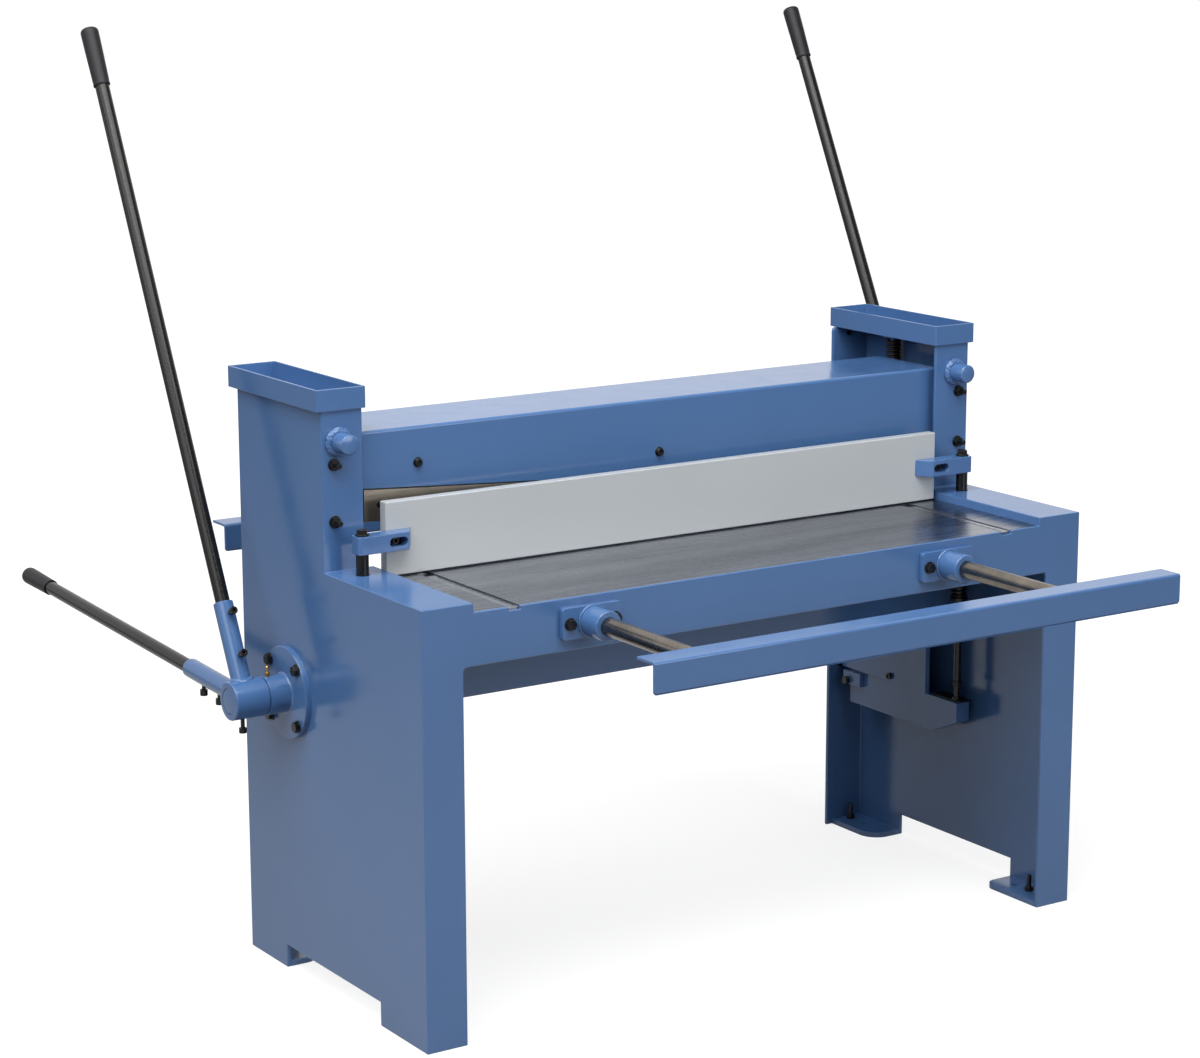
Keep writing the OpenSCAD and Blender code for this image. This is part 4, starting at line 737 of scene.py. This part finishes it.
# Small parts from the drawing: how far their edges are broken, finish, body and slot
easedNodes = {
    "foot_plates": (1.2, blueEnamel, "frame", "blue_enamel"),
    "table_web": (1.2, blueEnamel, "frame", "blue_enamel"),
    "table_plate": (0.8, groundSteel, "frame", "ground_steel"),
    "scale_strips": (0.3, scaleSteel, "frame", "ground_steel"),
    "levelling_screws": (0.5, blackOxide, "frame", "black_oxide"),
    "bearing_screws": (0.5, blackOxide, "frame", "black_oxide"),
    "guide_screws": (0.4, blackOxide, "frame", "black_oxide"),
    "socket_screws": (0.5, blackOxide, "frame", "black_oxide"),
    "tie_screws": (0.5, blackOxide, "frame", "black_oxide"),
    "lower_blade_screws": (0.3, blackOxide, "frame", "black_oxide"),
    "lower_blade": (0.4, bladeSteel, "frame", "blade_steel"),
    "grease_nipples": (0.3, turnedBrass, "frame", "brass"),
    "front_guides": (1.0, oiledSteel, "frame", "ground_steel"),
    "rear_guides": (1.0, oiledSteel, "frame", "ground_steel"),
    "post_bushes": (1.0, bareSteel, "frame", "ground_steel"),
    "rear_tie": (1.2, blueEnamel, "frame", "blue_enamel"),
    "rear_brackets": (1.0, blueEnamel, "frame", "blue_enamel"),
    "spring_hangers": (0.8, blueEnamel, "frame", "blue_enamel"),
    "beam_ribs": (1.0, blueEnamel, "blade_carriage", "blue_enamel"),
    "blade_holder": (1.2, blueEnamel, "blade_carriage", "blue_enamel"),
    "upper_blade": (0.4, bladeSteel, "blade_carriage", "blade_steel"),
    "upper_blade_screws": (0.3, blackOxide, "blade_carriage", "black_oxide"),
    "face_screws": (0.6, blackOxide, "blade_carriage", "black_oxide"),
    "cheeks": (1.5, blueEnamel, "blade_carriage", "blue_enamel"),
    "slide_shoes": (1.0, oiledSteel, "blade_carriage", "ground_steel"),
    "lift_arms": (1.4, blueEnamel, "blade_carriage", "blue_enamel"),
    # the black arm pads darken the tops of the lift arms' front ends, which lie in shade: painted shade
    "arm_pads": (0.6, gripRubber, "blade_carriage", "black_rubber"),
    "arm_blocks": (1.2, blueEnamel, "blade_carriage", "blue_enamel"),
    "carriage_screws": (0.5, blackOxide, "blade_carriage", "black_oxide"),
    "spring_seats": (0.8, blueEnamel, "blade_carriage", "blue_enamel"),
    "hold_down_posts": (0.6, blackOxide, "hold_down", "black_oxide"),
    "hold_down_screws": (0.5, blackOxide, "hold_down", "black_oxide"),
    "cross_shaft": (1.0, bareSteel, "lever_shaft", "polished_steel"),
    "clamp_screws": (0.5, blackOxide, "lever_shaft", "black_oxide"),
    "cranks": (1.2, bareSteel, "lever_shaft", "ground_steel")}
for node, (width, finish, body, slotName) in easedNodes.items():
    softened(node, width, finish, body, slotName)

# The shaft ends short of the paint on it
pick(bpy.data.objects["eased.cross_shaft"], "VERT", lambda p: abs(p[0]) > 890)
bpy.ops.transform.resize(value=(0.9972, 1, 1), center_override=(0, 0, 0))
done()

# Gaps beside the strips, and a dark end at the front, in metres
stripSet = {"x": 0.577, "narrower": 0.84, "front": -0.36, "shorter": 0.006}
for v in bpy.data.objects["eased.scale_strips"].data.vertices:
    hand = 1 if v.co.x > 0 else -1
    v.co.x = hand * (stripSet["x"] + (abs(v.co.x) - stripSet["x"]) * stripSet["narrower"])
    if v.co.y < stripSet["front"]:
        v.co.y += stripSet["shorter"]

# Graduations along the strips' inner edges, every fifth one long
tickSet = {"x": 567.5, "z": (810.1, 810.45), "first": 12, "last": 292, "pitch": 4, "wide": 1.2,
           "short": 4, "long": 8}
size = tickSet
low, high = size["z"]
ticks = []
for y in range(size["first"], size["last"], size["pitch"]):
    reach = size["long"] if (y - size["first"]) % (5 * size["pitch"]) == 0 else size["short"]
    ticks.append(block("scaleTicks", (size["x"], y, low), (size["x"] + reach, y + size["wide"], high)))
ticks = joined(*ticks)
mirrored(ticks)
dress(ticks, blackOxide, "frame", "black_oxide")
print("small parts eased")

# Camera, floor and light
cameraSet = {"place": (-3.33221, -4.85164, 2.07343), "azimuth": 33.243, "elevation": 12.034, "roll": -0.131,
             "lens": 90.551, "sensor": 36, "farEnd": 60}
calm()
bpy.ops.object.camera_add()
camera = bpy.context.object
camera.name = "photoCamera"
camera.matrix_world = (Matrix.Translation(cameraSet["place"])
                       @ Matrix.Rotation(deg(-cameraSet["azimuth"]), 4, "Z")
                       @ Matrix.Rotation(deg(90 - cameraSet["elevation"]), 4, "X")
                       @ Matrix.Rotation(deg(cameraSet["roll"]), 4, "Z"))
camera.data.lens, camera.data.sensor_width = cameraSet["lens"], cameraSet["sensor"]
camera.data.clip_end = cameraSet["farEnd"]
bpy.context.scene.camera = camera


def studioWhite():
    # Pale studio floor: the camera sees it white where it is lit, and it keeps the machine's shadow; enamel
    # and metal mirror a bright floor close by and a dimmer one further off
    finish, tree, shader, where = newFinish("studioFloor")
    shader.inputs["Base Color"].default_value = hexColour("#8c8c8c")
    shader.inputs["Roughness"].default_value = 0.9
    away = addNode(tree, "ShaderNodeVectorMath", {}, {0: where}, operation="LENGTH")
    seenLevel = addNode(tree, "ShaderNodeMapRange",
                        {"From Min": 1.2, "From Max": 4.5, "To Min": 0.8, "To Max": 1.0},
                        {"Value": away.outputs["Value"]})
    glossLevel = addNode(tree, "ShaderNodeMapRange",
                         {"From Min": 0.8, "From Max": 4.5, "To Min": 0.5, "To Max": 0.2},
                         {"Value": away.outputs["Value"]})
    path = addNode(tree, "ShaderNodeLightPath")
    seen = addNode(tree, "ShaderNodeMath", {},
                   {0: path.outputs["Is Camera Ray"], 1: seenLevel.outputs["Result"]}, operation="MULTIPLY")
    gloss = addNode(tree, "ShaderNodeMath", {},
                    {0: path.outputs["Is Glossy Ray"], 1: glossLevel.outputs["Result"]}, operation="MULTIPLY")
    glow = addNode(tree, "ShaderNodeMath", {}, {0: seen.outputs[0], 1: gloss.outputs[0]}, operation="ADD")
    shader.inputs["Emission Color"].default_value = (1, 1, 1, 1)
    tree.links.new(glow.outputs[0], shader.inputs["Emission Strength"])
    return finish


bpy.ops.mesh.primitive_plane_add(size=60, location=(0, 0, -0.0005))
floor = added("studioFloor")
floor.data.materials.append(studioWhite())

# White backdrop behind the machine for the camera and in reflections, a grey room in front of it, and a weak
# cool fill for everything else
world = bpy.data.worlds.new("studioWorld")
bpy.context.scene.world = world
world.use_nodes = True
tree = world.node_tree
tree.nodes.clear()
path = addNode(tree, "ShaderNodeLightPath")
clear = addNode(tree, "ShaderNodeMath", {},
                {0: path.outputs["Is Camera Ray"], 1: path.outputs["Is Transmission Ray"]},
                operation="MAXIMUM")
shown = addNode(tree, "ShaderNodeMath", {}, {0: clear.outputs[0], 1: path.outputs["Is Glossy Ray"]},
                operation="MAXIMUM")
where = addNode(tree, "ShaderNodeTexCoord").outputs["Generated"]
towards = addNode(tree, "ShaderNodeSeparateXYZ", {}, {0: where})
room = addNode(tree, "ShaderNodeMapRange", {"From Min": -0.3, "From Max": 0.2, "To Min": 0.3, "To Max": 1.0},
               {"Value": towards.outputs["Y"]})
level = addNode(tree, "ShaderNodeMath", {}, {0: room.outputs["Result"], 1: clear.outputs[0]},
                operation="MAXIMUM")
fill = addNode(tree, "ShaderNodeBackground", {"Color": hexColour("#f2f5fa"), "Strength": 0.06})
white = addNode(tree, "ShaderNodeBackground", {"Color": (1, 1, 1, 1)}, {"Strength": level.outputs[0]})
both = addNode(tree, "ShaderNodeMixShader", {},
               {0: shown.outputs[0], 1: fill.outputs[0], 2: white.outputs[0]})
addNode(tree, "ShaderNodeOutputWorld", {}, {"Surface": both.outputs[0]})

lampsTo = (0, 0, 0.6)                               # all three point at the middle of the machine
lightSets = {"overhead": {"place": (-0.9, -1.3, 4.4), "size": (4.5, 3.0), "power": 228},
             "leftHigh": {"place": (-4.0, -1.2, 5.0), "size": (6.5, 6.5), "power": 350},
             "front": {"place": (1.2, -5.2, 2.4), "size": (3.2, 2.4), "power": 112}}
for name, v in lightSets.items():
    calm()
    bpy.ops.object.light_add(type="AREA", location=v["place"])
    lamp = bpy.context.object
    lamp.name = name
    lamp.rotation_euler = (Vector(lampsTo) - Vector(v["place"])).to_track_quat("-Z", "Y").to_euler()
    lamp.data.shape = "RECTANGLE"
    lamp.data.size, lamp.data.size_y = v["size"]
    lamp.data.energy = v["power"]

bpy.context.scene.view_settings.view_transform = "Standard"
print("camera and lights set")
